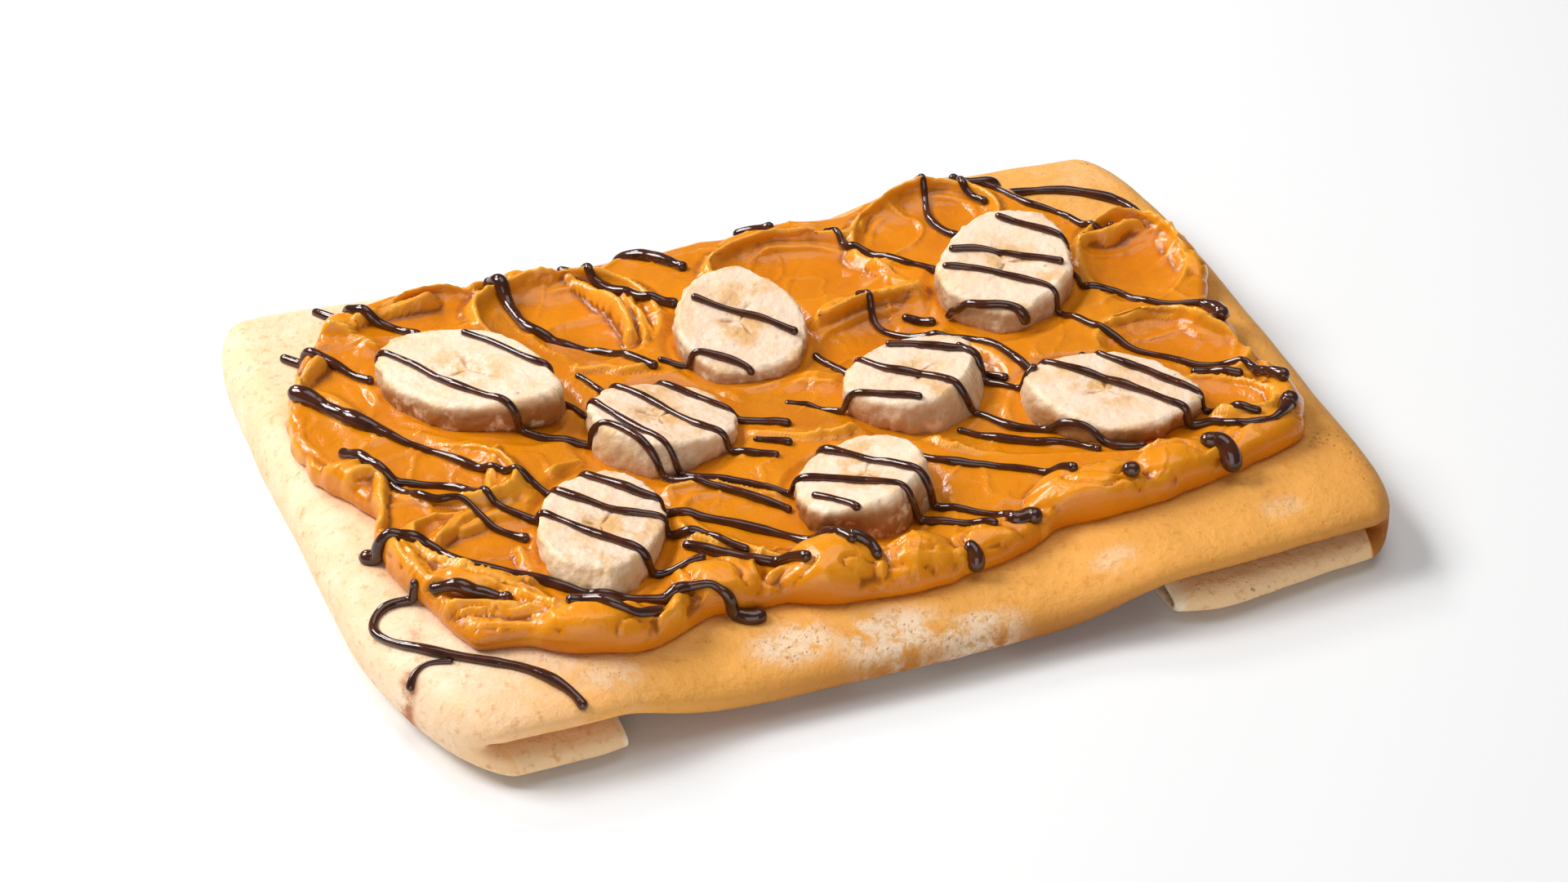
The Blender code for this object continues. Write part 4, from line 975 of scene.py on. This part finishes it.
def banana_finish(look):
    """Cut banana: ivory face with a tan core, fibrous sides and browned lower edges."""
    material, tree, shader, place = finish_nodes("cut_banana")
    disc = add_node(tree, "ShaderNodeSeparateXYZ", {"Vector": attribute(tree, "disc", "Vector")}).outputs
    flat = add_node(tree, "ShaderNodeCombineXYZ", {"X": disc["X"], "Y": disc["Y"]}).outputs[0]
    radius = add_node(tree, "ShaderNodeVectorMath", {0: flat}, operation="LENGTH").outputs["Value"]
    patchy = noise(tree, place, 160.0, 5.0, 0.6)
    broad = noise(tree, place, 60.0, 3.0, 0.5)
    grain = noise(tree, place, 900.0, 3.0, 0.6)
    base = mix_colour(tree, steps(tree, patchy, 0.42, 0.68), tuple(look.ivory), tuple(look.cream))
    core = times(tree, steps(tree, radius, 0.56, 0.14), steps(tree, patchy, 0.38, 0.58))
    stain = times(tree, steps(tree, broad, 0.52, 0.68), steps(tree, patchy, 0.42, 0.62))
    seam = times(tree, attribute(tree, "seam"), steps(tree, patchy, 0.3, 0.55))
    dots = rest_of(tree, steps(tree, cells_of(tree, place, 230.0), 0.06, 0.17))
    dots = times(tree, dots, steps(tree, noise(tree, place, 90.0), 0.55, 0.62))
    edge = times(tree, steps(tree, radius, 0.86, 1.0), steps(tree, patchy, 0.45, 0.6))
    browned = times(tree, attribute(tree, "browned"), steps(tree, patchy, 0.30, 0.46))
    for factor, share, shade in ((core, 0.9, look.tan), (stain, 0.8, look.tan), (seam, 0.75, look.seed),
                                 (dots, 0.55, look.seed), (edge, 0.6, look.tan),
                                 (attribute(tree, "side"), 0.55, look.side), (browned, 0.95, look.browned)):
        base = tint(tree, base, factor, share, shade)
    tree.links.new(base, shader.inputs["Base Color"])
    tree.links.new(steps(tree, grain, -0.5, 1.6), shader.inputs["Roughness"])
    set_shader(shader, Specular_IOR_Level=0.4, Subsurface_Weight=0.2,
               Subsurface_Radius=(1.0, 0.7, 0.4), Subsurface_Scale=0.003)
    pitted = steps(tree, cells_of(tree, place, 480.0), 0.1, 0.55)
    normal = bump_stack(tree, ((patchy, 0.0010, 0.5), (pitted, 0.0004, 0.25), (grain, 0.0004, 0.5)))
    tree.links.new(normal, shader.inputs["Normal"])
    return material


def chocolate_finish(look):
    """Dark set chocolate with a tight gloss."""
    material, tree, shader, place = finish_nodes("dark_chocolate")
    broad = noise(tree, place, 220.0, 3.0, 0.5)
    base = mix_colour(tree, steps(tree, broad, 0.3, 0.7), tuple(look.dark), tuple(look.brown))
    tree.links.new(base, shader.inputs["Base Color"])
    set_shader(shader, Roughness=look.roughness, Specular_IOR_Level=0.5, Coat_Weight=0.3, Coat_Roughness=0.05)
    tree.links.new(bump_stack(tree, ((broad, 0.0008, 0.25),)), shader.inputs["Normal"])
    return material


def curve_points(points, step):
    """A smooth curve through a strand's points, sampled about every step."""
    path = [Vector(p) for p in points]
    path = [path[0] * 2 - path[1]] + path + [path[-1] * 2 - path[-2]]
    fine = []
    for a, b, c, d in zip(path, path[1:], path[2:], path[3:]):
        count = max(2, int((c - b).length / step))
        for k in range(count):
            t = k / count
            fine.append(0.5 * (2 * b + (c - a) * t + (2 * a - 5 * b + 4 * c - d) * t * t
                               + (3 * b - a - 3 * c + d) * t ** 3))
    fine.append(path[-2])
    return fine


def pour_curves(swell, thickness):
    """Every strand of drizzle as a flat curve with its radius, ready to be laid down."""
    curves = bpy.data.curves.new("pour", "CURVE")
    curves.dimensions = "3D"
    rng = np.random.default_rng(7)
    # A strand that starts where the last one ends is one pour with it
    pours = []
    for width, points in STRANDS:
        run = [(x, y, width) for x, y in points]
        if pours and math.dist(pours[-1][-1][:2], points[0]) < JOIN_REACH:
            pours[-1] += run[1:] if points[0] == pours[-1][-1][:2] else run
        else:
            pours.append(run)
    for run in pours:
        path = curve_points(run, 1.0)
        spline = curves.splines.new("POLY")
        spline.points.add(len(path) - 1)
        beads = rng.uniform(0, 2 * math.pi, 2)
        for k, place in enumerate(path):
            spline.points[k].co = ((place.x - MIDDLE[0]) * MM, (place.y - MIDDLE[1]) * MM, 0.1, 1.0)
            bead = 1.0 + 0.10 * math.sin(k / 4.1 + beads[0]) + 0.08 * math.sin(k / 2.3 + beads[1])
            tip = 1.0 + swell * math.exp(-((len(path) - 1 - k) / 2.5) ** 2)
            spline.points[k].radius = place.z / 2 * MM * bead * tip * thickness
    return curves


def drizzle_tree(material):
    """Nodes that lay curves on the pieces below them and give them a round, tapered body."""
    tree = bpy.data.node_groups.new("Drizzle", "GeometryNodeTree")
    face = tree.interface
    for label, kind in (("Geometry", "NodeSocketGeometry"), ("Ground", "NodeSocketCollection"),
                        ("Spacing", "NodeSocketFloat"), ("Rise", "NodeSocketFloat"),
                        ("Slack", "NodeSocketInt"), ("Sides", "NodeSocketInt")):
        face.new_socket(label, in_out="INPUT", socket_type=kind)
    face.new_socket("Geometry", in_out="OUTPUT", socket_type="NodeSocketGeometry")
    given = tree.nodes.new("NodeGroupInput").outputs
    out = tree.nodes.new("NodeGroupOutput")

    # Drop the curves onto the pieces below them, partly sunk in
    ground = add_node(tree, "GeometryNodeCollectionInfo", {"Collection": given["Ground"]},
                      transform_space="ORIGINAL")
    ground = add_node(tree, "GeometryNodeRealizeInstances", {0: ground.outputs[0]}).outputs[0]
    flat = add_node(tree, "GeometryNodeResampleCurve", mode="LENGTH",
                    inputs={"Curve": given["Geometry"], "Length": given["Spacing"]}).outputs[0]
    fall = add_node(tree, "GeometryNodeRaycast", {"Target Geometry": ground, "Ray Direction": (0, 0, -1),
                                                  "Ray Length": 0.2})
    radius = tree.nodes.new("GeometryNodeInputRadius").outputs[0]
    lift = times(tree, radius, given["Rise"])
    off = add_node(tree, "ShaderNodeVectorMath", {0: fall.outputs["Hit Normal"], 3: lift},
                   operation="SCALE").outputs[0]
    spot = add_node(tree, "ShaderNodeVectorMath", {0: fall.outputs["Hit Position"], 1: off},
                    operation="ADD").outputs[0]
    laid = add_node(tree, "GeometryNodeSetPosition", {"Geometry": flat, "Selection": fall.outputs["Is Hit"],
                                                      "Position": spot}).outputs[0]
    # Space the points evenly again and let a strand bridge small steps
    even = add_node(tree, "GeometryNodeResampleCurve", {"Curve": laid, "Length": given["Spacing"]},
                    mode="LENGTH").outputs[0]
    here = tree.nodes.new("GeometryNodeInputPosition").outputs[0]
    soft = add_node(tree, "GeometryNodeBlurAttribute", {"Value": here, "Iterations": given["Slack"]},
                    data_type="FLOAT_VECTOR").outputs[0]
    eased = add_node(tree, "GeometryNodeSetPosition", {"Geometry": even, "Position": soft}).outputs[0]

    # Give the strand round ends and an uneven round body
    along = tree.nodes.new("GeometryNodeSplineParameter").outputs["Length"]
    total = tree.nodes.new("GeometryNodeSplineLength").outputs["Length"]
    near = math_node(tree, "MINIMUM", along, math_node(tree, "SUBTRACT", total, along))
    share = math_node(tree, "DIVIDE", near, radius)
    share = add_node(tree, "ShaderNodeClamp", {"Value": share, "Min": 0.02, "Max": 1.0}).outputs[0]
    rounded = math_node(tree, "SQRT", times(tree, share, math_node(tree, "SUBTRACT", 2.0, share)))
    uneven = add_node(tree, "ShaderNodeTexNoise", {"Scale": 150.0, "Detail": 1.0}).outputs[0]
    uneven = math_node(tree, "ADD", times(tree, uneven, 0.5), 0.75)
    scale = times(tree, times(tree, radius, rounded), uneven)
    ring = add_node(tree, "GeometryNodeCurvePrimitiveCircle", {"Resolution": given["Sides"], "Radius": 1.0})
    body = add_node(tree, "GeometryNodeCurveToMesh", {"Curve": eased, "Profile Curve": ring.outputs[0],
                                                      "Scale": scale, "Fill Caps": True}).outputs[0]
    body = add_node(tree, "GeometryNodeSetShadeSmooth", {"Geometry": body}).outputs[0]
    body = add_node(tree, "GeometryNodeRealizeInstances", {0: body}).outputs[0]
    body = add_node(tree, "GeometryNodeSetMaterial", {"Geometry": body, "Material": material}).outputs[0]
    tree.links.new(body, out.inputs[0])
    return tree


def laid_mesh(curves, tree, values):
    """Run a node tree on the curves once and return its result as a plain mesh."""
    carrier = bpy.data.objects.new("pour", curves)
    bpy.context.scene.collection.objects.link(carrier)
    nodes = carrier.modifiers.new("lay", "NODES")
    nodes.node_group = tree
    for item in tree.interface.items_tree:
        if item.in_out == "INPUT" and item.name in values:
            nodes[item.identifier] = values[item.name]
    carrier.update_tag()
    graph = bpy.context.evaluated_depsgraph_get()
    graph.update()
    mesh = bpy.data.meshes.new_from_object(carrier.evaluated_get(graph))
    bpy.data.objects.remove(carrier, do_unlink=True)
    return mesh


def colour(label, words, value):
    """A colour that a user may change."""
    return FloatVectorProperty(name=label, description=words, default=value, size=3, min=0.0, max=1.0,
                               subtype="COLOR")


def amount(label, words, value, low=0.0, high=1.0, **kind):
    """A number that a user may change."""
    return FloatProperty(name=label, description=words, default=value, min=low, max=high, **kind)


def fraction(label, words, value, low=0.0, high=1.0):
    """A share of the whole that a user may change."""
    return amount(label, words, value, low, high, subtype="FACTOR")


def whole(label, words, value, low, high):
    """A whole number that a user may change."""
    return IntProperty(name=label, description=words, default=value, min=low, max=high)


def wattage(label, words, value):
    """The power of a light that a user may change."""
    return amount(label, words, value, high=1000.0, unit="POWER")


class CrepeLook(bpy.types.PropertyGroup):
    """Size and colours of the folded sheet."""

    columns: whole("Columns", "Points across the depth of each face", 81, 15, 161)
    crumb: fraction("Crumb", "Strength of the surface grain", 0.45)
    # The blend from pale to golden is partly the bake and partly painted light: the lit left end is paler,
    # and the shaded right front is browner
    pale: colour("Pale batter", "Batter that took little heat", (0.93, 0.79, 0.60))
    golden: colour("Golden batter", "Evenly baked batter", (0.84, 0.39, 0.075))
    toasted: colour("Toasted batter", "The darkest specks", (0.60, 0.22, 0.030))
    dry: colour("Dry patches", "Pale porous patches that missed the pan", (0.86, 0.70, 0.53))
    dusty: colour("Dusty patches", "The browner web in the dry patches", (0.66, 0.42, 0.20))
    scorched: colour("Scorched marks", "The few brown marks", (0.42, 0.12, 0.03))
    # Partly painted shade on the lower front roll and the right end, partly their browner bake
    deep: colour("Deep golden batter", "The browner front roll and right end", (0.36, 0.11, 0.009))
    pit: colour("Pits", "The small pits of the drier batter", (0.30, 0.13, 0.045))
    # Partly painted light: the flaps' paler other side, made paler still to look lit from the front
    inner: colour("Inner side", "The drier side that the folded ends show", (0.88, 0.60, 0.33))
    rim: colour("Cut rim", "The pale rim of the folded ends", (0.97, 0.80, 0.58))
    # Painted shade inside the folded ends
    pocket: colour("Pocket", "The batter inside the folded ends", (0.42, 0.20, 0.07))


class SpreadLook(bpy.types.PropertyGroup):
    """Relief and colours of the thick spread."""

    cells: whole("Cells", "Cells along each side of the relief", 300, 60, 310)
    ripple: amount("Knife marks", "Height of the fine knife marks in millimetres", 0.12, high=0.5)
    roughness: fraction("Roughness", "Roughness of the wet surface", 0.15, low=0.05)
    # Painted shade for the low places of the spread
    deep: colour("Deep spread", "Spread over a thin bed", (0.62, 0.175, 0.002))
    amber: colour("Amber spread", "Most of the spread", (0.80, 0.270, 0.003))
    pale: colour("Thin spread", "Thin lips and edges", (0.88, 0.40, 0.035))
    # Painted shadow for the folds and the spread under lips
    shadow: colour("Spread in folds", "The darker spread between ropes and under lips", (0.34, 0.085, 0.004))


class BananaLook(bpy.types.PropertyGroup):
    """Relief and colours of the banana slices."""

    sides: whole("Sides", "Points round each slice", 112, 24, 160)
    fibre: amount("Fibre", "Strength of the fibres and the grain", 1.0, high=2.0)
    ivory: colour("Ivory flesh", "Most of the cut face", (0.93, 0.69, 0.51))
    cream: colour("Creamy flesh", "Riper patches of the face", (0.89, 0.61, 0.39))
    tan: colour("Core", "The middle of the face and riper stains", (0.74, 0.42, 0.15))
    seed: colour("Seeds", "Seed lines and spots", (0.34, 0.14, 0.04))
    side: colour("Side", "The peeled side", (0.78, 0.60, 0.36))
    browned: colour("Browned edge", "Lower edges that took heat", (0.34, 0.115, 0.015))


class DrizzleLook(bpy.types.PropertyGroup):
    """How the chocolate is poured."""

    spacing: amount("Spacing", "Distance between points along a strand", 0.0007, 0.0003, 0.003,
                    subtype="DISTANCE", unit="LENGTH")
    rise: amount("Rise", "How far a strand stands out of what it lies on, in radii", 0.5)
    slack: whole("Slack", "How softly a strand bridges edges", 6, 0, 12)
    sides: whole("Sides", "Points round a strand", 12, 6, 24)
    swell: amount("End drop", "How much a strand swells at its end", 0.25)
    thickness: fraction("Thickness", "Thickness of the strands against the solid's", 0.76, 0.3, 1.2)
    roughness: fraction("Roughness", "Roughness of the chocolate", 0.10, low=0.02)
    dark: colour("Dark chocolate", "Most of the drizzle", (0.034, 0.0075, 0.0028))
    brown: colour("Brown chocolate", "Thinner places", (0.075, 0.018, 0.006))


class StageLook(bpy.types.PropertyGroup):
    """The floor, the lights and the camera's lens."""

    floor: colour("Floor", "The pale floor", (0.86, 0.86, 0.86))
    key: wattage("Key light", "Power of the soft light from behind on the left", 18.5)
    fill: wattage("Fill light", "Power of the wide light overhead", 9.0)
    front: wattage("Front light", "Power of the weak low light in front", 5.0)
    gloss: wattage("Back light", "Power of the small light behind that the wet lips reflect", 3.6)
    sky: amount("Surroundings", "Brightness of the plain surroundings", 0.15, high=10.0)
    lens: amount("Lens", "Focal length", 78.0, 10.0, 500.0, unit="CAMERA")


class CREPE_OT_sheet(bpy.types.Operator):
    """Build the folded crepe"""

    bl_idname = "crepe.sheet"
    bl_label = "Folded Crepe"

    def execute(self, context):
        look = context.scene.crepe_look
        points = crepe_relief(crepe_points(look.columns))
        rows, around, _ = points.shape
        faces = grid_faces(rows, around)
        faces.append(list(range(around))[::-1])
        faces.append([(rows - 1) * around + k for k in range(around)])
        flat = points.reshape(-1, 3)
        x, y, z = flat.T
        row = np.repeat(np.minimum(np.arange(rows), np.arange(rows)[::-1]), around)
        # Browner to the right and the front, paler at the back right and near the floor. The pale left end
        # and the browner right front are partly their bake and partly painted light and shade
        golden = -0.08 + 0.70 * smooth((x + 85) / 120)
        golden += 0.46 * smooth((-y - 50) / 35) * smooth((x + 125) / 70)
        golden -= 0.30 * smooth((x - 80) / 30) * smooth((y - 20) / 60)
        golden -= 0.20 * smooth((6.0 - z) / 5.0)
        # Painted shade: the lower front roll and the right end take the deep colour, partly for their browner
        # bake and partly for the shade they lie in
        low = smooth((1.0 - z / crepe_line(x)) / 0.62) * smooth((-y - 60) / 20)
        under = 0.9 * low * smooth((x + 75) / 80) * (row > FLAP_ROWS)
        attributes = {
            "golden": golden,
            "patch": patch_strength(x, y, PALE_PATCHES),
            "mark": patch_strength(x, y, BROWN_MARKS),
            "deep": under + 0.22 * smooth((x - 88) / 34) * smooth((60 - y) / 60) * smooth((z - 4) / 8),
            # Partly painted light on the flaps, over their paler other side
            "inner": 0.9 * smooth((9.6 - z) / 1.2) * (row < FLAP_ROWS),
            "rim": 0.9 * ((row > 2) & (row < 12)),
            # Painted shade inside the folded ends
            "pocket": 1.0 * (row < 3),
            "pores": smooth((9.0 - z) / 3.0) * smooth((x - 50) / 20) + 0.5 * smooth((x - 95) / 25),
        }
        make_piece("crepe_sheet", flat, faces, crepe_finish(look), attributes, "crepe")
        return {"FINISHED"}


class CREPE_OT_spread(bpy.types.Operator):
    """Lay the thick spread on the crepe"""

    bl_idname = "crepe.spread"
    bl_label = "Spread"

    def execute(self, context):
        look = context.scene.spread_look
        ground = ground_lookup(bpy.data.objects["crepe_sheet"])
        points, thin, depth, hollow = spread_points(look.cells, look.ripple, ground)
        faces = spread_faces(look.cells)
        attributes = {"thin": thin.ravel(), "depth": depth.ravel(), "hollow": hollow.ravel()}
        points = points.reshape(-1, 3)
        make_piece("spread_layer", points, faces, spread_finish(look), attributes, "spread")
        return {"FINISHED"}


class CREPE_OT_slices(bpy.types.Operator):
    """Set the banana slices in the spread"""

    bl_idname = "crepe.slices"
    bl_label = "Banana Slices"

    def execute(self, context):
        look = context.scene.banana_look
        material = banana_finish(look)
        for number, node in enumerate(SLICE_NODES):
            points, disc = slice_points(number, look.sides, look.fibre)
            rows, around, _ = points.shape
            faces = [tuple(k + around for k in face) for face in grid_faces(rows - 2, around)]
            flat = points.reshape(-1, 3)
            for ring, middle in ((1, 0), (rows - 2, rows - 1)):
                faces += [(ring * around + k, ring * around + (k + 1) % around, middle * around)
                          for k in range(around)]
            u, v, up = disc.reshape(-1, 3).T
            r, angle = np.hypot(u, v), np.arctan2(v, u)
            side = smooth((0.97 - up) / 0.06) * (r > 0.5)
            seam = bump(np.sin(1.5 * angle + number), 0.20) * bump(r - 0.18, 0.13) * (up >= 1.0)
            right, back = flat[:, 0] - SLICES[number][0], flat[:, 1] - SLICES[number][1]
            toward_front = smooth(0.5 - back / 18.0 - right / 40.0)
            browned = SLICE_BROWNING[number] * side * smooth((0.98 - up) / 0.36) * toward_front
            attributes = {"disc": disc.reshape(-1, 3), "side": side, "seam": seam, "browned": browned}
            name = f"{SLICE_PIECES}{number + 1}"
            make_piece(name, flat, faces, material, attributes, node)
        return {"FINISHED"}


class CREPE_OT_drizzle(bpy.types.Operator):
    """Pour the chocolate over everything"""

    bl_idname = "crepe.drizzle"
    bl_label = "Chocolate Drizzle"

    def execute(self, context):
        look = context.scene.drizzle_look
        ground = bpy.data.collections.new("ground")
        below = ["crepe_sheet", "spread_layer"] + [f"{SLICE_PIECES}{k + 1}" for k in range(len(SLICES))]
        for name in below:
            ground.objects.link(bpy.data.objects[name])
        material = chocolate_finish(look)
        tree = drizzle_tree(material)
        values = {"Ground": ground, "Spacing": look.spacing, "Rise": look.rise, "Slack": look.slack,
                  "Sides": look.sides}
        mesh = laid_mesh(pour_curves(look.swell, look.thickness), tree, values)
        bpy.data.collections.remove(ground)
        if not mesh.polygons:
            raise RuntimeError("the drizzle came out empty")
        mesh.name = "drizzle"
        piece = bpy.data.objects.new("drizzle", mesh)
        context.scene.collection.objects.link(piece)
        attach(piece, "root")
        return {"FINISHED"}


class CREPE_OT_stage(bpy.types.Operator):
    """Set up the floor, the lights and the camera"""

    bl_idname = "crepe.stage"
    bl_label = "Stage"

    def execute(self, context):
        look = context.scene.stage_look
        bpy.ops.mesh.primitive_plane_add(size=FLOOR_SIZE, location=(0, 0, 0))
        floor = context.object
        floor.name = "floor"
        material, tree, shader, place = finish_nodes("pale_floor")
        duller = tuple(v * 0.98 for v in look.floor)
        cloudy = mix_colour(tree, noise(tree, place, 3.0), tuple(look.floor), duller)
        tree.links.new(cloudy, shader.inputs["Base Color"])
        set_shader(shader, Roughness=0.9)
        floor.data.materials.append(material)
        for name, size, spot in LIGHTS:
            light = bpy.data.lights.new(name, "AREA")
            light.energy = getattr(look, name)
            light.size = size
            lamp = bpy.data.objects.new(name, light)
            lamp.location = spot
            lamp.rotation_euler = (-Vector(spot)).to_track_quat("-Z", "Y").to_euler()
            context.scene.collection.objects.link(lamp)
        world = bpy.data.worlds.new("surroundings")
        world.use_nodes = True
        world.node_tree.nodes["Background"].inputs["Color"].default_value = (1.0, 1.0, 1.0, 1.0)
        world.node_tree.nodes["Background"].inputs["Strength"].default_value = look.sky
        context.scene.world = world
        context.scene.view_settings.view_transform = "Standard"
        lens = bpy.data.cameras.new("camera")
        lens.lens = look.lens
        lens.sensor_width = SENSOR
        camera = bpy.data.objects.new("camera", lens)
        turn, rise = math.radians(VIEW_TURN), math.radians(VIEW_RISE)
        back = Vector((math.sin(turn) * math.cos(rise), -math.cos(turn) * math.cos(rise), math.sin(rise)))
        target = (Vector(VIEW_TARGET) - Vector((*MIDDLE, 0.0))) * MM
        camera.location = target + back * VIEW_DISTANCE
        camera.rotation_euler = (-back).to_track_quat("-Z", "Y").to_euler()
        context.scene.collection.objects.link(camera)
        context.scene.camera = camera
        return {"FINISHED"}


class CREPE_PT_panel(bpy.types.Panel):
    """Lists what can be built and its settings"""

    bl_label = "Folded Crepe"
    bl_idname = "CREPE_PT_panel"
    bl_space_type = "VIEW_3D"
    bl_region_type = "UI"
    bl_category = "Folded Crepe"

    def draw(self, context):
        scene = context.scene
        for operator, label, _ in STEPS:
            box = self.layout.box()
            box.operator(operator.bl_idname)
            settings = getattr(scene, label)
            for name in settings.bl_rna.properties.keys():
                if name not in {"rna_type", "name"}:
                    box.prop(settings, name)


# Each operator with the name and the class of its settings
STEPS = ((CREPE_OT_sheet, "crepe_look", CrepeLook), (CREPE_OT_spread, "spread_look", SpreadLook),
         (CREPE_OT_slices, "banana_look", BananaLook), (CREPE_OT_drizzle, "drizzle_look", DrizzleLook),
         (CREPE_OT_stage, "stage_look", StageLook))


def register():
    """Register the settings, the operators and the panel."""
    for operator, label, look in STEPS:
        bpy.utils.register_class(look)
        setattr(bpy.types.Scene, label, PointerProperty(type=look))
        bpy.utils.register_class(operator)
    bpy.utils.register_class(CREPE_PT_panel)


def unregister():
    """Take everything back out."""
    bpy.utils.unregister_class(CREPE_PT_panel)
    for operator, label, look in STEPS:
        bpy.utils.unregister_class(operator)
        delattr(bpy.types.Scene, label)
        bpy.utils.unregister_class(look)


def main():
    """Build every piece in order."""
    register()
    bpy.ops.crepe.sheet()
    bpy.ops.crepe.spread()
    bpy.ops.crepe.slices()
    bpy.ops.crepe.drizzle()
    bpy.ops.crepe.stage()


if __name__ == "__main__":
    main()
